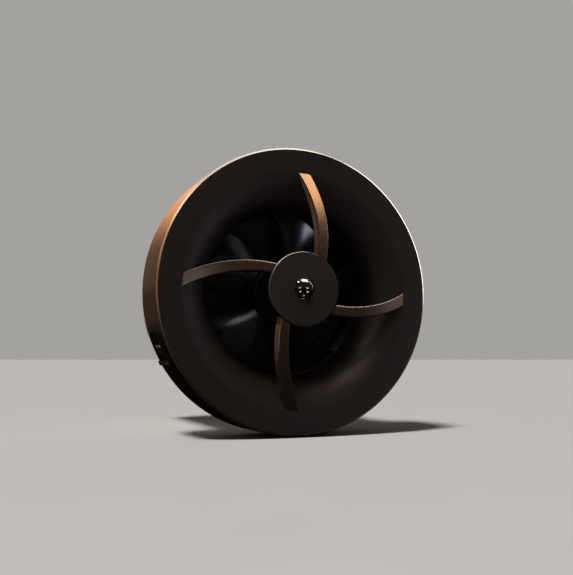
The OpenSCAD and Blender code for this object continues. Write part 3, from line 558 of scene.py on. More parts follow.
def smoked(name):
    """Smoked clear dome."""
    t = Tree(name)
    sm = t.noise(2.5, 4.0, 0.6)
    t.set(Base_Color=t.mix(sm, (0.022, 0.018, 0.017), (0.032, 0.026, 0.024)), Roughness=t.span(sm, 0.02, 0.055))
    t.b.inputs["Transmission Weight"].default_value = 0.90
    t.b.inputs["IOR"].default_value = 1.49
    t.b.inputs["Coat Weight"].default_value = 0.6
    t.b.inputs["Coat Roughness"].default_value = 0.03
    return t.mat


def lamp(name, colour, strength):
    """Lamp body that glows evenly in its own colour."""
    t = Tree(name)
    n = t.noise(0.5, 2.0, 0.5)
    t.set(Base_Color=t.mix(n, tint(colour, 0.8), colour), Roughness=t.span(n, 0.15, 0.3))
    t.b.inputs["Emission Color"].default_value = (*colour, 1)
    t.b.inputs["Emission Strength"].default_value = strength
    return t.mat


M = {
    "cover": moulded("cover_plastic", (0.0080, 0.0064, 0.0064), 0.33, 0.30, 0.25, 0.14, edge_wear_highlight=0.6, spec=0.45, warp=0.02),
    # bellmouth: the cover's black plastic in a lighter tone, painted light that brightens it, with painted shade
    # towards the throat
    "bell": moulded("bellmouth_plastic", (0.0150, 0.0120, 0.0118), 0.46, 0.30, 0.25, 0.16, edge_wear_highlight=0.4, spec=0.30, dust=0.01, warp=0.02,
                     throat_shade=(63.5, 73.0, 0.1)),
    "vane": moulded("vane_plastic", (0.0052, 0.0046, 0.0046), 0.28, 0.26, 0.10, 0.12, edge_wear_highlight=0.5),
    "hub": moulded("hub_plastic", (0.0050, 0.0046, 0.0048), 0.42, 0.24, 0.25, 0.12, edge_wear_highlight=0.8),
    "bezel": moulded("bezel_plastic", (0.0100, 0.0095, 0.0090), 0.16, 0.20, 0.08, 0.10, edge_wear_highlight=0.8),
    # fan: the black plastic in a darker tone, painted shade for the fan deep inside the cover
    "fan": moulded("fan_plastic", (0.0028, 0.0027, 0.0029), 0.21, 0.25, 0.12, 0.10, edge_wear_highlight=0.3, spec=0.4, dust=0.0),
    "housing": moulded("housing_plastic", (0.0080, 0.0078, 0.0078), 0.48, 0.40, 0.40, 0.15, edge_wear_highlight=0.5, spec=0.35, dust=0.02),
    # dark base plate: a black unit's base, and also dark as painted shade where the switch window shows it
    "plate": moulded("plate_plastic", (0.036, 0.030, 0.024), 0.46, 0.35, 0.30, 0.10, edge_wear_highlight=0.3, dust=0.02, warp=0.04),
    "duct": moulded("duct_plastic", (0.60, 0.59, 0.565), 0.34, 0.50, 0.20, 0.05, dust=0.03, warp=0.08),
    "grille": moulded("grille_plastic", (0.46, 0.455, 0.44), 0.46, 0.35, 0.35, 0.07, edge_wear_highlight=0.1, dust=0.06),
    "cream": moulded("connector_plastic", (0.66, 0.61, 0.49), 0.40, 0.30, 0.25, 0.06),
    "terminal": moulded("terminal_plastic", (0.020, 0.13, 0.055), 0.38, 0.30, 0.25, 0.10, edge_wear_highlight=0.5),
    "module": moulded("potted_module", (0.012, 0.012, 0.014), 0.28, 0.60, 0.20, 0.15),
    "capacitor": moulded("capacitor_sleeve", (0.020, 0.030, 0.115), 0.24, 0.60, 0.12, 0.12),
    "switch": moulded("switch_plastic", (0.0075, 0.0064, 0.0060), 0.38, 0.30, 0.15, 0.12, edge_wear_highlight=0.9),
    # pale bar on the rocker's rib: a painted highlight for its lit ridge
    "lit_ridge_paint": moulded("painted_ridge_highlight", (0.34, 0.27, 0.245), 0.38, 0.30, 0.15, 0.05),
    "rubber": moulded("black_rubber", (0.013, 0.013, 0.013), 0.62, 0.50, 0.50, 0.15, dust=0.06),
    "lead_grey": moulded("grey_lead", (0.36, 0.35, 0.32), 0.50, 0.40, 0.25, 0.08),
    "lead_black": moulded("black_lead", (0.012, 0.012, 0.013), 0.40, 0.40, 0.25, 0.10),
    "lead_red": moulded("red_lead", (0.30, 0.022, 0.015), 0.34, 0.40, 0.20, 0.10),
    "gasket": beads("foam_gasket", (0.055, 0.055, 0.055)),
    "core_foam": beads("bead_foam", (0.075, 0.077, 0.082)),
    "ceramic": fired("fired_ceramic", (0.50, 0.44, 0.355)),
    "felt": felt("filter_felt", (0.007, 0.007, 0.0072)),
    "zinc": metal("zinc_steel", (0.52, 0.52, 0.54), 0.34),
    "ground": metal("ground_steel", (0.62, 0.62, 0.63), 0.16, bump=0.06),
    "cup": metal("drawn_steel", (0.42, 0.43, 0.44), 0.33, brushed=(1, 0.05, 1)),
    "nickel": metal("nickel", (0.60, 0.58, 0.54), 0.22, bump=0.06),
    "brass": metal("turned_brass", (0.66, 0.45, 0.17), 0.24, brushed=(1, 0.04, 1)),
    "wire": metal("mesh_wire", (0.40, 0.41, 0.42), 0.32),
    "ferrite": moulded("ferrite", (0.035, 0.035, 0.037), 0.55, 0.50, 0.60, 0.20),
    "board": board("circuit_board"),
    "board_dark": moulded("dark_board", (0.0045, 0.0050, 0.0050), 0.34, 0.30, 0.15, 0.15, dust=0.0),
    "copper": windings("copper_wire"),
    "stack": laminations("lamination_stack"),
    "lens": smoked("smoked_lens"),
    "lamp_white": lamp("lamp_white", (1.0, 0.93, 0.84), 34.0),
    "lamp_amber": lamp("lamp_amber", (1.0, 0.40, 0.10), 34.0),
}

CARRIED = {
    "outer_shell": "cover", "bell_ring": "bell", "vane_spider": "vane", "hub_cap": "hub",
    "sensor_bezel": "bezel", "sensor_lens": "lens", "sensor_board": "board_dark",
    "status_lamps": "lamp_white", "sensor_lead": "lead_grey", "cover_plug": "cream",
    "plug_pins": "brass", "cover_magnets": "nickel", "shell_screws": "zinc",
    "wall_plate": "plate", "wall_gasket": "gasket", "plate_magnets": "nickel",
    "fan_housing": "housing", "fan_screws": "zinc", "bearing_tube": "brass",
    "bearing_front": "ground", "bearing_rear": "ground", "stator_core": "stack",
    "stator_coils": "copper", "motor_board": "board", "motor_lead": "lead_black",
    "main_board": "board", "board_screws": "zinc", "power_module": "module",
    "main_capacitor": "capacitor", "terminal_block": "terminal", "terminal_screws": "zinc",
    "cable_grommet": "rubber", "cable_clamp": "cream", "clamp_screws": "zinc",
    "board_socket": "cream", "motor_plug": "cream", "control_cover": "housing",
    "control_screws": "zinc", "switch_body": "switch", "switch_lead": "lead_red",
    "inner_sleeve": "duct", "sleeve_seal": "rubber", "core_shell_upper": "core_foam",
    "core_shell_lower": "core_foam", "ceramic_core": "ceramic",
    "filter_frame_front": "housing", "filter_pad_front": "felt",
    "filter_frame_rear": "housing", "filter_pad_rear": "felt",
    "impeller": "fan", "rotor_cup": "cup", "rotor_magnet": "ferrite",
    "motor_shaft": "ground", "shaft_clip": "cup", "rocker_button": "switch",
    "rocker_mark": "lit_ridge_paint", "rocker_pin": "ground", "outer_sleeve": "duct",
    "outdoor_grille": "grille", "insect_mesh": "wire",
}
for n, o in nodes.items():
    o.data.materials.clear()
    o.data.materials.append(M[CARRIED[n]])


# --------------------------------------------------- bellmouth ring (front)

def bell_z(r, off=0.0):
    """Height of the bellmouth's surface, lowered by off along its normal."""
    rad = BELL_R - off
    if r <= BELL_CX - rad * math.sin(SLOPE):
        return BELL_CZ + math.sqrt(max(0.0, rad * rad - (r - BELL_CX) ** 2))
    r0, z0 = CREASE_R, CREASE_Z
    return z0 - off + (r - r0) / (106.7 - r0) * (DEPTH - 0.2 - z0)


def bell_profile():
    """Closed section of the bellmouth ring."""
    a0 = math.atan2(CREASE_Z - BELL_CZ, CREASE_R - BELL_CX)
    a1 = math.pi
    front = []
    n = 44
    for k in range(n + 1):
        a = a0 + (a1 - a0) * k / n
        front.append((BELL_CX + BELL_R * math.cos(a), BELL_CZ + BELL_R * math.sin(a)))
    # a small rounding softens the crease
    crease = rounded([(94.0, bell_z(94.0), 0), (CREASE_R, CREASE_Z, 7.0), front[3] + (0,)], 6, 0, closed=False)
    prof = [(106.45, 46.26), (106.1, 46.275), (101.0, bell_z(101.0)), (97.0, bell_z(97.0))]
    prof += crease[1:-1]
    prof += [p for p in front[3:]]
    # throat lip
    prof += [(THROAT_R, BELL_CZ - 2.0), (THROAT_R, BELL_END + 0.5), (THROAT_R + 0.15, BELL_END + 0.15),
             (THROAT_R + 0.5, BELL_END), (THROAT_R + 1.7, BELL_END), (THROAT_R + 2.05, BELL_END + 0.15),
             (THROAT_R + 2.2, BELL_END + 0.5), (THROAT_R + 2.2, BELL_CZ - 2.0)]
    rad = BELL_R - 2.2
    for k in range(n, -1, -1):
        a = a0 + (a1 - a0) * k / n
        prof.append((BELL_CX + rad * math.cos(a), BELL_CZ + rad * math.sin(a)))
    prof += [(98.0, bell_z(98.0) - 2.2), (103.8, 43.85), (103.9, 43.7), (103.9, 33.3), (104.2, 33.0),
             (105.8, 33.0), (106.1, 33.3), (106.1, 43.9), (106.2, 44.05), (106.45, 44.1),
             (106.66, 44.25), (106.70, 44.6), (106.70, 46.0), (106.63, 46.2)]
    return prof


def boss(r, a, z0, z1, rad, bore=0.0, fil=0.3, seg=40):
    """A turned post, at radius r and angle a, with an optional bore."""
    if bore > 0:
        prof = rounded([(bore, z0, 0.12), (rad, z0, fil), (rad, z1, fil), (bore, z1, 0.12)], 4, 0.1)
        part = lathe(prof, seg)
    else:
        prof = rounded([(0.0, z0, 0), (rad, z0, fil), (rad, z1, fil), (0.0, z1, 0)], 4, 0.1, closed=False)
        part = lathe(prof, seg, closed=False)
    return shift(part, dx=r, turn=a)


def block(x0, x1, y0, y1, z0, z1, edge=0.4, corner=0.8, turn=0.0):
    out = rounded([(x0, y0, corner), (x1, y0, corner), (x1, y1, corner), (x0, y1, corner)], 4, 0)
    v, f = plate(out, z0, z1, edge)
    return shift((v, f), turn=turn)


bell_parts = [lathe(bell_profile(), 320)]
for a in (0, 90, 180, 270):
    bell_parts.append(boss(98, a, 30.1, 43.2, 3.6, 1.5))
bell_parts.append(block(86 - 3.2, 86 + 3.2, -6.5, 6.5, 32.0, 42.5, 0.4, 1.0, 262))
build("bellmouth", bell_parts, "cover", M["bell"], ["bell_ring"], sharp=40)


# ------------------------------------------------------------- outer shell

def shell_piece():
    # the lit rim is a ring of its own, split from the wall on a flat strip
    z_s = DEPTH - 1.9
    k = (z_s - 0.6) / (DEPTH - 2.02)
    r_s = (R_WALL - 0.03) + (108.495 - R_WALL + 0.03) * k
    rim = rounded([(106.95, z_s, 0), (r_s, z_s, 0), (108.495, DEPTH - 1.42, 0.5), (107.12, DEPTH - 0.02, 0.3),
                   (107.0, DEPTH - 0.06, 0.06)], 8, 0.12)
    build("cover_rim", [lathe(rim, 320)], "cover", M["cover"], ["outer_shell"], sharp=40)
    prof = rounded([
        (106.3, 0.6, 0.35), (R_WALL - 0.03, 0.6, 0.45), (r_s, z_s, 0), (106.95, z_s, 0),
        (106.93, 44.0, 0.05), (106.3, 44.0, 0.1)], 8, 0.15)
    parts = [lathe(prof, 320)]
    for a in (0, 90, 180, 270):
        parts.append(block(92.3, 106.6, -5, 5, 27.3, 30.0, 0.3, 1.2, a))
    for a in (45, 135, 225, 315):
        parts.append(boss(99.5, a, 11.9, 29.8, 4.6, 0, 0.5))
        parts.append(block(103.0, 106.6, -1.2, 1.2, 12.2, 29.6, 0.3, 0.4, a))
    ob = build("cover_shell", parts, "cover", M["cover"], ["outer_shell"], sharp=40)
    # window cutter: a rounded outline that flares at the outer surface
    out = rounded([(-12.8, -3.0, 0), (12.8, -3.0, 0), (12.8, 29.0, 2.2), (-12.8, 29.0, 2.2)], 8, 0)
    pts = np.array(out)
    ctr = np.array([0.0, 13.0])
    loops = [(90.0, 0.0), (108.15, 0.0), (108.45, 0.10), (110.2, 1.75)]
    cv, ca, sa = [], math.cos(SWITCH_A), math.sin(SWITCH_A)
    for rad, off in loops:
        for p in pts:
            q = p.copy()
            for ax in (0, 1):
                if ax == 0 and abs(abs(p[0]) - 12.8) < 2.3:
                    q[0] += math.copysign(off, p[0]) * min(1, (abs(p[0]) - 10.6) / 2.2)
                if ax == 1 and p[1] > 26.5:
                    q[1] += off * min(1, (p[1] - 26.8) / 2.2)
            x = math.sqrt(max(1, rad * rad - q[0] * q[0]))
            cv.append(P(x * ca - q[0] * sa, x * sa + q[0] * ca, q[1]))
    m = len(pts)
    cf = grid_faces(len(loops), m, wrap_cols=True)
    cf += [tuple(range(m)), tuple(range((len(loops) - 1) * m, len(loops) * m))]
    me = bpy.data.meshes.new("cutter")
    me.from_pydata(cv, [], cf)
    bm = bmesh.new()
    bm.from_mesh(me)
    bmesh.ops.recalc_face_normals(bm, faces=bm.faces)
    bmesh.ops.triangulate(bm, faces=[f for f in bm.faces if len(f.verts) > 4])
    bm.to_mesh(me)
    bm.free()
    cut = bpy.data.objects.new("cutter", me)
    scene.collection.objects.link(cut)
    mod = ob.modifiers.new("window", "BOOLEAN")
    mod.operation = "DIFFERENCE"
    mod.solver = "EXACT"
    mod.object = cut
    bpy.context.view_layer.update()
    dg = bpy.context.evaluated_depsgraph_get()
    new = bpy.data.meshes.new_from_object(ob.evaluated_get(dg), depsgraph=dg)
    ob.modifiers.clear()
    old = ob.data
    ob.data = new
    bpy.data.objects.remove(cut)
    bpy.data.meshes.remove(old)
    new.name = "cover_shell"
    # the round wall keeps the shading of a turned surface round the window
    new.update()
    vn = np.zeros(len(new.vertices) * 3)
    new.vertices.foreach_get("co", vn)
    vn = vn.reshape(-1, 3)
    normals = [tuple(c.vector) for c in new.corner_normals]
    for poly in new.polygons:
        fn = poly.normal
        c = poly.center
        rad = math.hypot(c.x, c.z)
        if rad < 0.1055 or not (-0.0449 < c.y < -0.0010):
            continue
        e = Vector((c.x / rad, 0, c.z / rad))
        d = fn.dot(e)
        if abs(d) > 0.995:
            for li in poly.loop_indices:
                v = vn[new.loops[li].vertex_index]
                rr = math.hypot(v[0], v[2])
                s = 1 if d > 0 else -1
                tilt = -0.01126 if d > 0 else 0.0
                nn = Vector((v[0] / rr * s, tilt, v[2] / rr * s)).normalized()
                normals[li] = tuple(nn)
    new.normals_split_custom_set(normals)
    return ob


shell_piece()


# ------------------------------------------------------- vanes and hub cup

def arc_angle(c, big_r, r):
    """Polar angle where a vane's edge circle meets the circle of radius r."""
    d = math.hypot(*c)
    ux, uy = c[0] / d, c[1] / d
    a = (r * r - big_r * big_r + d * d) / (2 * d)
    h = math.sqrt(max(0.0, r * r - a * a))
    return math.atan2(a * uy - h * ux, a * ux + h * uy)


def dome_z(r, top, rad):
    return top - rad + math.sqrt(rad * rad - (r - 28.0) ** 2)


def vane_part(turn):
    f = 0.8
    radii = [26.2] + list(np.linspace(27.2, 86.0, 50)) + list(np.linspace(86.6, TIP_R - 0.02, 16))
    n = 5
    verts = []
    cols = None
    for r in radii:
        a_out, a_in = arc_angle(VANE_OUT, VANE_OUT_R, r), arc_angle(VANE_IN, VANE_IN_R, r)
        w = (a_in - a_out) * r
        end = max(0.0, r - (TIP_R - 0.6)) / 0.6
        drop = 0.6 * (1 - math.sqrt(max(0.0, 1 - end * end)))
        zt = dome_z(min(r, TIP_R), DOME_TOP, DOME_RAD) - drop
        if r < HUB_R + 0.4:
            zt = min(zt, HUB_Z - 3.05)
        zb = max(dome_z(r, BACK_TOP, BACK_RAD), bell_z(max(r, 64.6)) - 0.35 if r > 66 else -99)
        zb = min(zb, zt - 0.9)
        # the groove side keeps a soft lower edge
        g = min(f, (zt - zb) * 0.3)
        sec = []
        for k in range(n + 1):
            q = math.pi / 2 * k / n
            sec.append((g * 0.6 * (1 - math.sin(q)), zb + g * 0.6 * (1 - math.cos(q))))
        sec.append((0.0, zb + g * 0.6 + 0.15))
        sec.append((0.0, zt - f - 0.15))
        for k in range(n + 1):
            q = math.pi / 2 * k / n
            sec.append((f * (1 - math.cos(q)), zt - f + f * math.sin(q)))
        pts = list(sec)
        for s in (0.12, 0.3, 0.5, 0.7, 0.88):
            pts.append((f + 0.05 + (w - 2 * f - 0.1) * s, zt))
        for u, z in reversed(sec):
            pts.append((w - u, z))
        for s in (0.75, 0.5, 0.25):
            pts.append((g + (w - 2 * g) * s, zb))
        cols = len(pts)
        for u, z in pts:
            a = a_out + u / r
            verts.append((r * math.cos(a), r * math.sin(a), z))
    faces = grid_faces(len(radii), cols, wrap_cols=True)
    faces.append(tuple(range(cols)))
    faces.append(tuple(range((len(radii) - 1) * cols, len(radii) * cols)))
    return shift((verts, faces), turn=turn)


blades = [vane_part(t) for t in (0, 90, 180, 270)]
cup = rounded([(0.0, 44.0, 0), (HUB_R - 0.3, 44.0, 1.2), (HUB_R - 0.3, HUB_Z - 3.05, 0.15), (HUB_R - 2.0, HUB_Z - 3.05, 0.15),
               (HUB_R - 2.0, 45.6, 0.6), (0.0, 45.6, 0)], 5, 0.15, closed=False)
spider = [lathe(cup, 160, closed=False)]
for a in (30, 150, 270):
    spider.append(boss(17, a, 45.3, 49.0, 2.0, 0.95, 0.2, 28))
for a in (86.8, 176.8, 266.8, 356.8):
    blades.append(boss(86.5, a, 41.5, 45.6, 1.45, 0, 0.3, 28))
build("vanes", blades, "cover", M["vane"], ["vane_spider"], sharp=40)
build("hub_cup", spider, "cover", M["vane"], ["vane_spider"], sharp=40)

# hub disc
cap = rounded([(LENS_R + 0.8, HUB_Z - 3, 0.2), (HUB_R - 3.6, HUB_Z - 3, 0), (HUB_R - 3.6, HUB_Z - 6, 0.2),
               (HUB_R - 2.1, HUB_Z - 6, 0.2), (HUB_R - 2.1, HUB_Z - 3, 0), (HUB_R, HUB_Z - 3, 0.25),
               (HUB_R, HUB_Z, 0.8), (LENS_R + 0.8, HUB_Z, 0.3)], 8, 0.12)
build("hub_disc", [lathe(cap, 256)], "cover", M["hub"], ["hub_cap"], sharp=40)

# bezel and dome
bez = rounded([(LENS_R + 0.05, HUB_Z - 2.6, 0.05), (LENS_R + 0.75, HUB_Z - 2.6, 0.1), (LENS_R + 0.75, HUB_Z + 0.2, 0.32),
               (LENS_R + 0.05, HUB_Z + 0.2, 0.3)], 6, 0.05)
build("dome_bezel", [lathe(bez, 128)], "cover", M["bezel"], ["sensor_bezel"], sharp=40)

ball = (LENS_R ** 2 + LENS_RISE ** 2) / (2 * LENS_RISE)
lens = []
for k in range(25):
    r = LENS_R * k / 24
    lens.append((r, HUB_Z + LENS_RISE - ball + math.sqrt(ball * ball - r * r)))
lens += [(LENS_R, HUB_Z - 0.2), (LENS_R, HUB_Z - 1.5), (LENS_R - 0.1, HUB_Z - 1.6), (LENS_R - 1.0, HUB_Z - 1.6), (LENS_R - 1.1, HUB_Z - 1.5)]
rin, rtop = ball - 1.1, LENS_R - 1.1
for k in range(24, -1, -1):
    r = rtop * k / 24
    lens.append((r, HUB_Z + LENS_RISE - ball + math.sqrt(rin * rin - r * r)))
build("dome_lens", [lathe(lens, 128, closed=False)], "cover", M["lens"], ["sensor_lens"], sharp=40)

# lamps under the dome: four pale ones and an amber one
def lamp_part(x, y):
    prof = [(0.0, 51.6), (0.42, 51.6), (0.45, 51.7), (0.45, 52.4), (0.34, 52.7), (0.34, 53.6)]
    for k in range(1, 9):
        a = math.pi / 2 * k / 8
        prof.append((0.34 * math.cos(a), 53.6 + 0.34 * math.sin(a)))
    v, f = lathe(prof, 24, closed=False)
    return [(px + x, py + y, pz) for px, py, pz in v], f


build("lamps_pale", [lamp_part(*p) for p in ((-1.8, 1.2), (4.0, 1.2), (-1.5, -1.7), (4.2, -1.7))],
      "cover", M["lamp_white"], ["status_lamps"])
build("lamp_amber", [lamp_part(1.4, -4.5)], "cover", M["lamp_amber"], ["status_lamps"])


# ------------------------------------------------------------------ fan

def blade_part(turn):
    hub, tip = 25.5, 63.3
    nr, nc = 30, 22
    verts = []
    for i in range(nr + 1):
        r = hub - 1.0 + (tip - hub + 1.0) * i / nr
        u = (r - hub) / (tip - hub)
        chord = 27 + 25 * u - 4 * u * u
        pitch = math.radians(42 - 21 * u)
        lean = -4 * u + 13 * u * u
        ring = []
        for side in (1, -1):
            order = range(nc + 1) if side > 0 else range(nc, -1, -1)
            for j in order:
                s = 0.5 - 0.5 * math.cos(math.pi * j / nc)
                th = (2.4 - 1.0 * u) * math.sqrt(max(0.0, math.sin(math.pi * s))) + 0.30
                if j in (0, nc):
                    th = 0.12
                al = (s - 0.5) * chord
                up = 2.6 * math.sin(math.pi * s) + side * th / 2
                t = al * math.cos(pitch) - up * math.sin(pitch)
                z = al * math.sin(pitch) + up * math.cos(pitch)
                a = math.radians(lean) + t / r
                ring.append((r * math.cos(a), r * math.sin(a), z + 5.6))
        verts += ring
    m = 2 * (nc + 1)
    faces = grid_faces(nr + 1, m, wrap_cols=True)
    for base in (0, nr * m):
        for j in range(nc):
            faces.append((base + j, base + j + 1, base + m - 2 - j, base + m - 1 - j))
    return shift((verts, faces), turn=turn)


fan = [blade_part(FAN_TURN + 72 * k) for k in range(5)]
hubp = rounded([(0.0, 16.9, 0), (5.0, 16.9, 0.3), (5.3, 17.5, 0.3), (25.5, 17.5, 2.2), (25.5, -5.0, 0.4), (22.15, -5.0, 0.2),
                (22.15, 15.7, 0.6), (6.0, 15.7, 0.3), (6.0, 9.64, 0.2), (2.0, 9.64, 0), (2.0, 12.6, 0), (0.0, 12.6, 0)], 6, 0.15, closed=False)
fan.append(lathe(hubp, 160, closed=False))
for a in range(0, 360, 60):
    fan.append(block(6.2, 21.9, -0.7, 0.7, 9.64, 15.9, 0.2, 0.3, a + FAN_TURN))
build("fan_wheel", fan, "rotor", M["fan"], ["impeller"], sharp=40)


# --------------------------------------------------------------- switch

def sw(x, y, z, shift_y=0.0):
    """From the switch's frame: x out of the side wall, y round it, z from
    the wall."""
    c, s = math.cos(SWITCH_A), math.sin(SWITCH_A)
    px, py = SW_R + x, y + shift_y
    return (px * c - py * s, px * s + py * c, z)


def sw_plate(corners, x0, x1, edge, shift_y=0.0):
    """A plate whose outline lies in (y, z) and whose thickness runs along x."""
    out = rounded(corners, 5, 0)
    return plate(out, x0, x1, edge, 3, to=lambda y, z, x: sw(x, y, z, shift_y))


def sw_ring(outer, inner, x0, x1, edge):
    """A flat ring between two outlines with the same number of corners."""
    a, b = rounded(outer, 5, 0), rounded(inner, 5, 0)
    A, B = np.array(a), np.array(b)
    m = len(A)
    loops = []

    def along(p, q, t):
        d = np.linalg.norm(q - p, axis=1)[:, None]
        return p + (q - p) / np.maximum(d, 1e-9) * t
    for t, x in ((0, x0 + edge), (edge * 0.3, x0 + edge * 0.3), (edge, x0)):
        loops.append((along(A, B, t), x))
    for t, x in ((edge, x0), (edge * 0.3, x0 + edge * 0.3), (0, x0 + edge)):
        loops.append((along(B, A, t), x))
    for t, x in ((0, x1 - edge), (edge * 0.3, x1 - edge * 0.3), (edge, x1)):
        loops.append((along(B, A, t), x))
    for t, x in ((edge, x1), (edge * 0.3, x1 - edge * 0.3), (0, x1 - edge)):
        loops.append((along(A, B, t), x))
    verts = []
    for pts, x in loops:
        for p in pts:
            verts.append(sw(x, p[0], p[1]))
    return verts, grid_faces(len(loops), m, wrap_rows=True, wrap_cols=True)


def rect(y0, y1, z0, z1, f):
    return [(y0, z0, f), (y1, z0, f), (y1, z1, f), (y0, z1, f)]


def sw_end(z0, z1):
    """End wall of the rocker's well, with the round hole for its pin."""
    x0, x1, y0, y1, cx, r = -9.0, -1.0, -9.2, 9.2, -PIVOT_IN, 0.8
    ang = [2 * math.pi * i / 40 for i in range(40)]
    ang += [math.atan2(y, x - cx) % (2 * math.pi) for x in (x0, x1) for y in (y0, y1)]
    outer, inner = [], []
    for a in sorted(ang):
        c, s = math.cos(a), math.sin(a)
        t = min(((x1 if c > 0 else x0) - cx) / c if abs(c) > 1e-9 else 1e9,
                (y1 if s > 0 else y0) / s if abs(s) > 1e-9 else 1e9)
        outer.append((cx + t * c, t * s))
        inner.append((cx + r * c, r * s))
    loops = [(outer, z0), (outer, z1), (inner, z1), (inner, z0)]
    verts = [sw(px, py, z, ROCK_SHIFT) for pts, z in loops for px, py in pts]
    return verts, grid_faces(4, len(ang), wrap_rows=True, wrap_cols=True)


s0 = ROCK_SHIFT
body_parts = [
    # face panel beyond the rocker, and its narrow strip beside it
    sw_plate(rect(-12.4, 6.4, 26.4, 28.1, 0.5), -2.0, 0.0, 0.3),
    sw_plate(rect(-12.4, -9.6 + s0 + 1.0, 3.05, 27.5, 0.4), -2.0, 0.0, 0.25),
    # lip that closes the slit at the window's upper foot
    sw_plate(rect(-12.6, -11.9, 0.15, 3.0, 0.1), -3.0, 0.5, 0.1),
    # bezel
    sw_ring(rect(-9.6 + s0, 9.6 + s0, 3.05, 27.4, 1.2), rect(-8.4 + s0, 8.4 + s0, 4.8, 25.6, 0.7), -2.0, 0.8, 0.25),
    # body behind, hollow at the rocker, with the pin's holes in its ends
    sw_end(3.1, 4.8),
    sw_end(25.6, 27.0),
    sw_plate(rect(-9.2 + s0, -8.4 + s0, 4.5, 25.9, 0.1), -9.0, -1.0, 0.12),
    sw_plate(rect(8.4 + s0, 9.2 + s0, 4.5, 25.9, 0.1), -9.0, -1.0, 0.12),
    sw_plate(rect(-9.2 + s0, 9.2 + s0, 3.1, 27.0, 0.6), -10.6, -8.8, 0.3),
    sw_plate(rect(-9.2 + s0, 9.2 + s0, 3.1, 19.0, 0.6), -21.4, -10.4, 0.3),
]
for y in (-5, 0, 5):
    body_parts.append(sw_plate(rect(y - 0.4 + s0, y + 0.4 + s0, 8.0, 12.8, 0.2), -24.4, -21.0, 0.12))
build("switch_housing", body_parts, "wall", M["switch"], ["switch_body"], sharp=40)


def rock(x, y, z):
    """From the rocker's frame, tilted about its pin."""
    a = math.radians(-9.0)
    px, py = x * math.cos(a) - y * math.sin(a), x * math.sin(a) + y * math.cos(a)
    return sw(px - PIVOT_IN, py, z, ROCK_SHIFT)


def rocker_outline():
    pts = []
    r = 7.98
    lim = 4.85
    top = math.acos(lim / r)
    # lower end arc, from the back to the front
    for k in range(9):
        a = -(math.pi / 2 + 0.253) + (math.pi / 2 + 0.253 - top) * k / 8
        pts.append((r * math.cos(a), r * math.sin(a)))
    pts += [(4.9, -5.9), (4.45, -4.0), (4.0, -2.6), (3.62, -1.25), (3.28, -1.22), (3.28, 0.62), (3.62, 0.65),
            (4.0, 2.0), (4.45, 3.6), (4.9, 5.9)]
    for k in range(9):
        a = top + (math.pi / 2 + 0.253 - top) * k / 8
        pts.append((r * math.cos(a), r * math.sin(a)))
    return pts


rv, rf = plate(rocker_outline(), 5.25, 25.15, 0.35, 3, to=rock)
build("rocker_cap", [(rv, rf)], "rocker", M["switch"], ["rocker_button"], sharp=40)
# pale bar along the rocker's rib: a painted highlight standing in for the lit ridge
out = rounded([(3.2, -1.16, 0.1), (4.32, -1.16, 0.25), (4.32, 0.56, 0.25), (3.2, 0.56, 0.1)], 3, 0)
mv, mf = plate(out, 5.3, 25.1, 0.2, 2, to=rock)
build("rocker_bar", [(mv, mf)], "rocker", M["lit_ridge_paint"], ["rocker_mark"], sharp=40)


# ------------------------------------------------------------- filters

def pad_piece(name, node, z0, z1):
    """Felt disc with quilted pillows and a soft, slightly uneven rim."""
    rnd = random.Random(7 if "front" in name else 11)
    ph = [rnd.uniform(0, 6.28) for _ in range(6)]
    nr, na = 60, 192
    rim = 70.35
    verts = []
    zc, half = (z0 + z1) / 2, (z1 - z0) / 2

    def h(x, y):
        a = math.cos(x * 2 * math.pi / 13.0) * math.cos(y * 2 * math.pi / 13.0)
        b = 0.3 * math.sin(x * 0.31 + ph[0]) * math.sin(y * 0.27 + ph[1]) + 0.2 * math.sin(x * 0.9 + y * 0.7 + ph[2])
        return 0.82 + 0.14 * a + 0.10 * b
    prof = [(rim * i / nr, 1) for i in range(nr + 1)] + [(rim * i / nr, -1) for i in range(nr, -1, -1)]
    m = len(prof)
    for k in range(na):
        a = 2 * math.pi * k / na
        for r, side in prof:
            x, y = r * math.cos(a), r * math.sin(a)
            edge = math.sqrt(max(0.0, 1 - max(0.0, (r - rim + 1.4) / 1.4) ** 2))
            verts.append((x, y, zc + side * half * min(0.98, h(x, y)) * (0.25 + 0.75 * edge)))
    faces = []
    for k in range(na):
        k2 = (k + 1) % na
        for j in range(m - 1):
            faces.append((k * m + j, k2 * m + j, k2 * m + j + 1, k * m + j + 1))
    ob = build(name, [(verts, faces)], "wall", M["felt"], [node], sharp=60)
    return ob


pad_piece("filter_felt_front", "filter_pad_front", -18.85, -15.25)
pad_piece("filter_felt_rear", "filter_pad_rear", -119.75, -116.15)


# ---------------------------------------------------------- insect mesh

def woven_mesh():
    z = -SLEEVE_END + 12.45
    pitch, wr, amp = 2.6, 0.15, 0.17
    rim = 75.6
    parts = []
    n = int(rim // pitch)
    for way in (0, 1):
        for i in range(-n, n + 1):
            off = i * pitch
            ln = math.sqrt(rim * rim - off * off)
            if ln < 4:
                continue
            cells = int(ln // pitch)
            pts = []
            for k in range(-2 * cells, 2 * cells + 1):
                t = k * pitch / 2
                wave = math.cos(math.pi * t / pitch) * (1 if (i + way) % 2 else -1)
                zz = z + amp * wave
                pts.append((t, off, zz) if way == 0 else (off, t, zz))
            parts.append(tube(pts, wr, 5, caps=True))
    # rolled rim
    rimprof = rounded([(rim - 0.6, z - 0.36, 0.2), (76.55, z - 0.36, 0.3), (76.55, z + 0.36, 0.3), (rim - 0.6, z + 0.36, 0.2)], 4, 0)
    parts.append(lathe(rimprof, 192))
    build("woven_mesh", parts, "outdoor_end", M["wire"], ["insect_mesh"], sharp=50)


woven_mesh()


# ------------------------------------------- camera, floor and lights

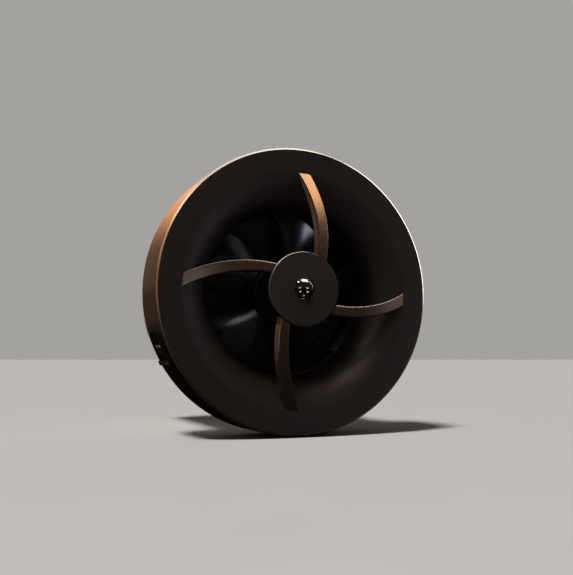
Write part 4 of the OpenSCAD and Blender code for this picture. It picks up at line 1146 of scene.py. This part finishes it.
AZ, EL = 0.375874, 0.0907488
cam_data = bpy.data.cameras.new("camera")
cam_data.sensor_fit = "AUTO"
cam_data.sensor_width = 36.0
cam_data.lens = 36.0 * 780.0 / 575.0
cam_data.clip_start = 0.01
cam_data.clip_end = 200
cam = bpy.data.objects.new("camera", cam_data)
scene.collection.objects.link(cam)
cam.location = (-0.22278, -0.58501, -0.05108)
look = Vector((math.sin(AZ) * math.cos(EL), math.cos(AZ) * math.cos(EL), math.sin(EL)))
cam.rotation_mode = "QUATERNION"
cam.rotation_quaternion = look.to_track_quat("-Z", "Y")
scene.camera = cam

FLOOR_Z = -0.1095


def floor_piece():
    t = Tree("floor_paint")
    n = t.noise(60.0, 4.0, 0.5)
    c = t.mix(n, (0.715, 0.705, 0.69), (0.735, 0.725, 0.71))
    t.set(Base_Color=c, Roughness=t.span(n, 0.55, 0.7), Normal=t.bump(t.noise(1.5, 3.0, 0.6), 0.15, 0.1))
    t.b.inputs["Specular IOR Level"].default_value = 0.15
    verts, faces = [], []
    radii = [0.0, 0.25, 0.5, 1, 2, 4, 8, 16, 40]
    seg = 64
    for r in radii:
        for k in range(seg):
            a = 2 * math.pi * k / seg
            verts.append((r * math.cos(a), r * math.sin(a), FLOOR_Z))
    faces = grid_faces(len(radii), seg, wrap_cols=True)
    me = bpy.data.meshes.new("floor")
    me.from_pydata(verts, [], faces)
    bm = bmesh.new()
    bm.from_mesh(me)
    bmesh.ops.remove_doubles(bm, verts=bm.verts, dist=1e-6)
    bmesh.ops.recalc_face_normals(bm, faces=bm.faces)
    for f in bm.faces:
        if f.normal.z < 0:
            f.normal_flip()
    bm.to_mesh(me)
    bm.free()
    ob = bpy.data.objects.new("floor", me)
    scene.collection.objects.link(ob)
    me.materials.append(t.mat)
    ob.visible_glossy = False


floor_piece()

world = bpy.data.worlds.new("studio")
scene.world = world
world.use_nodes = True
wn = world.node_tree
wn.nodes.clear()


def wnode(kind, **inputs):
    n = wn.nodes.new(kind)
    for k, v in inputs.items():
        s = n.inputs[int(k[1:])] if k[0] == "i" and k[1:].isdigit() else n.inputs[k]
        if hasattr(v, "links"):
            wn.links.new(v, s)
        else:
            s.default_value = v
    return n


# the camera sees a pale backdrop; the object sees a dim room over a dark floor
lp = wnode("ShaderNodeLightPath")
direction = wnode("ShaderNodeTexCoord").outputs["Generated"]
axes = wnode("ShaderNodeSeparateXYZ", i0=direction)
rise = wnode("ShaderNodeMapRange", Value=axes.outputs["Z"]).outputs["Result"]
rise_node = rise.node
for k, v in (("From Min", -0.10), ("From Max", 0.30), ("To Min", 0.010), ("To Max", 0.112)):
    rise_node.inputs[k].default_value = v
# the wall side is darker than the room side
back = wnode("ShaderNodeMapRange", Value=axes.outputs["Y"]).outputs["Result"]
for k, v in (("From Min", 0.0), ("From Max", 0.55), ("To Min", 1.0), ("To Max", 0.18)):
    back.node.inputs[k].default_value = v
rise = wnode("ShaderNodeMath", i0=rise, i1=back).outputs[0]
rise.node.operation = "MULTIPLY"
pale = wnode("ShaderNodeBackground", i0=(0.80, 0.785, 0.76, 1), i1=0.46)
dim = wnode("ShaderNodeBackground", i0=(0.96, 0.95, 0.95, 1), i1=rise)
mixw = wnode("ShaderNodeMixShader", i0=lp.outputs["Is Camera Ray"], i1=dim.outputs[0], i2=pale.outputs[0])
wnode("ShaderNodeOutputWorld", i0=mixw.outputs[0])

COVER = ["cover_shell", "cover_rim", "hub_cup", "bellmouth", "vanes", "hub_disc", "dome_bezel", "dome_lens", "lamps_pale", "lamp_amber"]


def lit_only(light, names):
    """Limits a light to some objects."""
    c = bpy.data.collections.new(light.name + "_lights")
    for n in names:
        c.objects.link(bpy.data.objects[n])
    light.light_linking.receiver_collection = c
    return light


def free_light(light):
    """Lets a light through everything but the floor."""
    c = bpy.data.collections.new(light.name + "_blockers")
    c.objects.link(bpy.data.objects["floor"])
    light.light_linking.blocker_collection = c
    return light


def place(name, d, toward=None, where=None, at=None):
    o = bpy.data.objects.new(name, d)
    scene.collection.objects.link(o)
    o.rotation_mode = "QUATERNION"
    if toward is not None:
        o.rotation_quaternion = (-Vector(toward)).normalized().to_track_quat("-Z", "Y")
    else:
        o.location = where
        o.rotation_quaternion = (Vector(at) - Vector(where)).normalized().to_track_quat("-Z", "Y")
        o.visible_camera = False
    return o


def sun(name, toward, colour, strength, angle):
    """A soft sun. toward is the direction in which the light is seen."""
    d = bpy.data.lights.new(name, "SUN")
    d.color = colour
    d.energy = strength
    d.angle = math.radians(angle)
    return place(name, d, toward=toward)


def area(name, where, at, size, colour, radiance):
    """A soft box of even radiance."""
    d = bpy.data.lights.new(name, "AREA")
    d.shape = "RECTANGLE"
    d.size, d.size_y = size
    d.color = colour
    d.energy = radiance * math.pi * size[0] * size[1]
    return place(name, d, where=where, at=at)


REST = [o.name for o in bpy.data.objects if o.type == "MESH" and o.name not in COVER]
SWITCH = ["switch_housing", "rocker_cap", "rocker_bar", "wall_plate"]
SWITCH = [n for n in SWITCH if n in REST]
KEY = (-0.38, -0.30, 0.87)
lit_only(sun("key", KEY, (1.0, 0.975, 0.94), 2.5, 12), [n for n in REST if n not in SWITCH])
lit_only(sun("key_cover", KEY, (1.0, 0.72, 0.56), 1.2, 12), [n for n in COVER if n != "bellmouth"])
lit_only(sun("key_switch", KEY, (1.0, 0.74, 0.60), 0.75, 12), SWITCH)
lit_only(sun("key_bell", KEY, (1.0, 0.76, 0.66), 1.35, 16), ["bellmouth"])
lit_only(sun("back_fill", (0.40, 0.72, 0.57), (1.0, 0.98, 0.95), 0.8, 25),
         [n for n in REST if n not in ("floor", "fan_wheel") and n not in SWITCH])
RIM_LIT = ["cover_rim"]
lit_only(area("dome_top", (0.22, 0.08, 0.95), (0, 0, 0), (1.3, 0.8), (1.0, 0.90, 0.80), 14.0), ["dome_lens"])
lit_only(area("dome_right", (0.90, 0.20, 0.46), (0, 0, 0), (0.5, 0.6), (1.0, 0.90, 0.80), 10.0), ["dome_lens"])
lit_only(area("rim_top", (0.05, 0.0, 0.95), (0, 0, 0), (2.2, 1.0), (1.0, 0.87, 0.72), 13.0), RIM_LIT)
lit_only(area("edge_top", (0.05, 0.12, 0.95), (0, 0, 0), (2.0, 0.8), (1.0, 0.84, 0.68), 17.0), ["vanes", "dome_bezel"])
lit_only(area("hub_edge", (-0.05, 0.10, 0.95), (0, 0, 0), (2.0, 0.9), (1.0, 0.85, 0.72), 36.0), ["hub_disc"])
lit_only(area("rim_right", (0.90, 0.30, 0.46), (0, 0, 0), (0.7, 0.9), (1.0, 0.90, 0.80), 11.0), RIM_LIT)
lit_only(area("rim_left_high", (-0.62, -0.22, 0.76), (0, 0, 0), (0.66, 0.36), (1.0, 0.78, 0.50), 34.0), RIM_LIT)
lit_only(area("rim_left", (-0.82, -0.34, 0.42), (0, 0, 0), (0.34, 0.38), (1.0, 0.46, 0.22), 18.0), RIM_LIT)
lit_only(area("rim_left_low", (-0.93, -0.37, 0.02), (0, 0, 0), (0.34, 0.30), (1.0, 0.50, 0.34), 6.0), RIM_LIT)
lit_only(area("side_warm", (-0.02, 0.82, 0.58), (0, 0, 0.05), (0.9, 0.50), (1.0, 0.40, 0.17), 3.6), ["cover_shell"])
lit_only(area("side_low", (-0.26, 0.84, 0.22), (0, 0, 0), (0.40, 0.30), (1.0, 0.50, 0.30), 0.40), ["cover_shell"])
lit_only(area("side_foot", (-0.33, 0.86, -0.02), (0, 0, 0), (0.36, 0.16), (1.0, 0.56, 0.36), 0.16), ["cover_shell"])
lit_only(area("vane_kick", (0.36, -0.64, 0.70), (0, -0.05, 0.05), (0.42, 0.42), (1.0, 0.48, 0.20), 27.0), ["vanes"])
lit_only(area("vane_right", (0.90, -0.46, 0.10), (0, -0.05, 0), (0.40, 0.40), (1.0, 0.66, 0.54), 1.7), ["vanes"])
lit_only(area("vane_left", (-0.42, -0.92, 0.06), (0, -0.05, 0), (0.40, 0.40), (1.0, 0.82, 0.70), 2.2), ["vanes"])
lit_only(area("bell_fill", (0.90, -0.55, -0.12), (0, 0, 0), (0.8, 0.8), (1.0, 0.86, 0.86), 0.9), ["bellmouth"])
lit_only(area("bell_warm", (-0.20, -0.60, 0.77), (0, 0, -0.05), (0.34, 0.30), (1.0, 0.74, 0.62), 5.5), ["bellmouth"])
lit_only(area("vane_edge", (0.90, 0.05, 0.42), (0, -0.05, 0), (0.35, 0.45), (1.0, 0.80, 0.66), 18.0), ["vanes"])
free_light(lit_only(area("vane_side", (-0.39, 0.90, 0.17), (0, 0, 0), (0.35, 0.35), (1.0, 0.52, 0.26), 8.0), ["vanes"]))
free_light(lit_only(area("vane_line", (-0.28, -0.17, -0.03), (0, -0.05, 0.05), (0.10, 0.10), (1.0, 0.66, 0.42), 14.0), ["vanes"]))
# light that finds its way to the fan inside the cover
for name, where, size, colour, radiance in (
        ("fan_right", (0.66, -0.06, 0.74), (0.24, 0.26), (1.0, 0.90, 0.94), 4.4),
        ("fan_left", (-0.36, -0.56, 0.75), (0.26, 0.22), (1.0, 0.90, 0.94), 3.4),
        ("fan_glint", (0.962, 0.04, 0.25), (0.07, 0.16), (0.80, 0.84, 1.0), 34.0)):
    free_light(lit_only(area(name, where, (0, 0, 0), size, colour, radiance), ["fan_wheel"]))

scene.view_settings.view_transform = "Standard"
scene.view_settings.look = "None"
scene.view_settings.exposure = 0.0
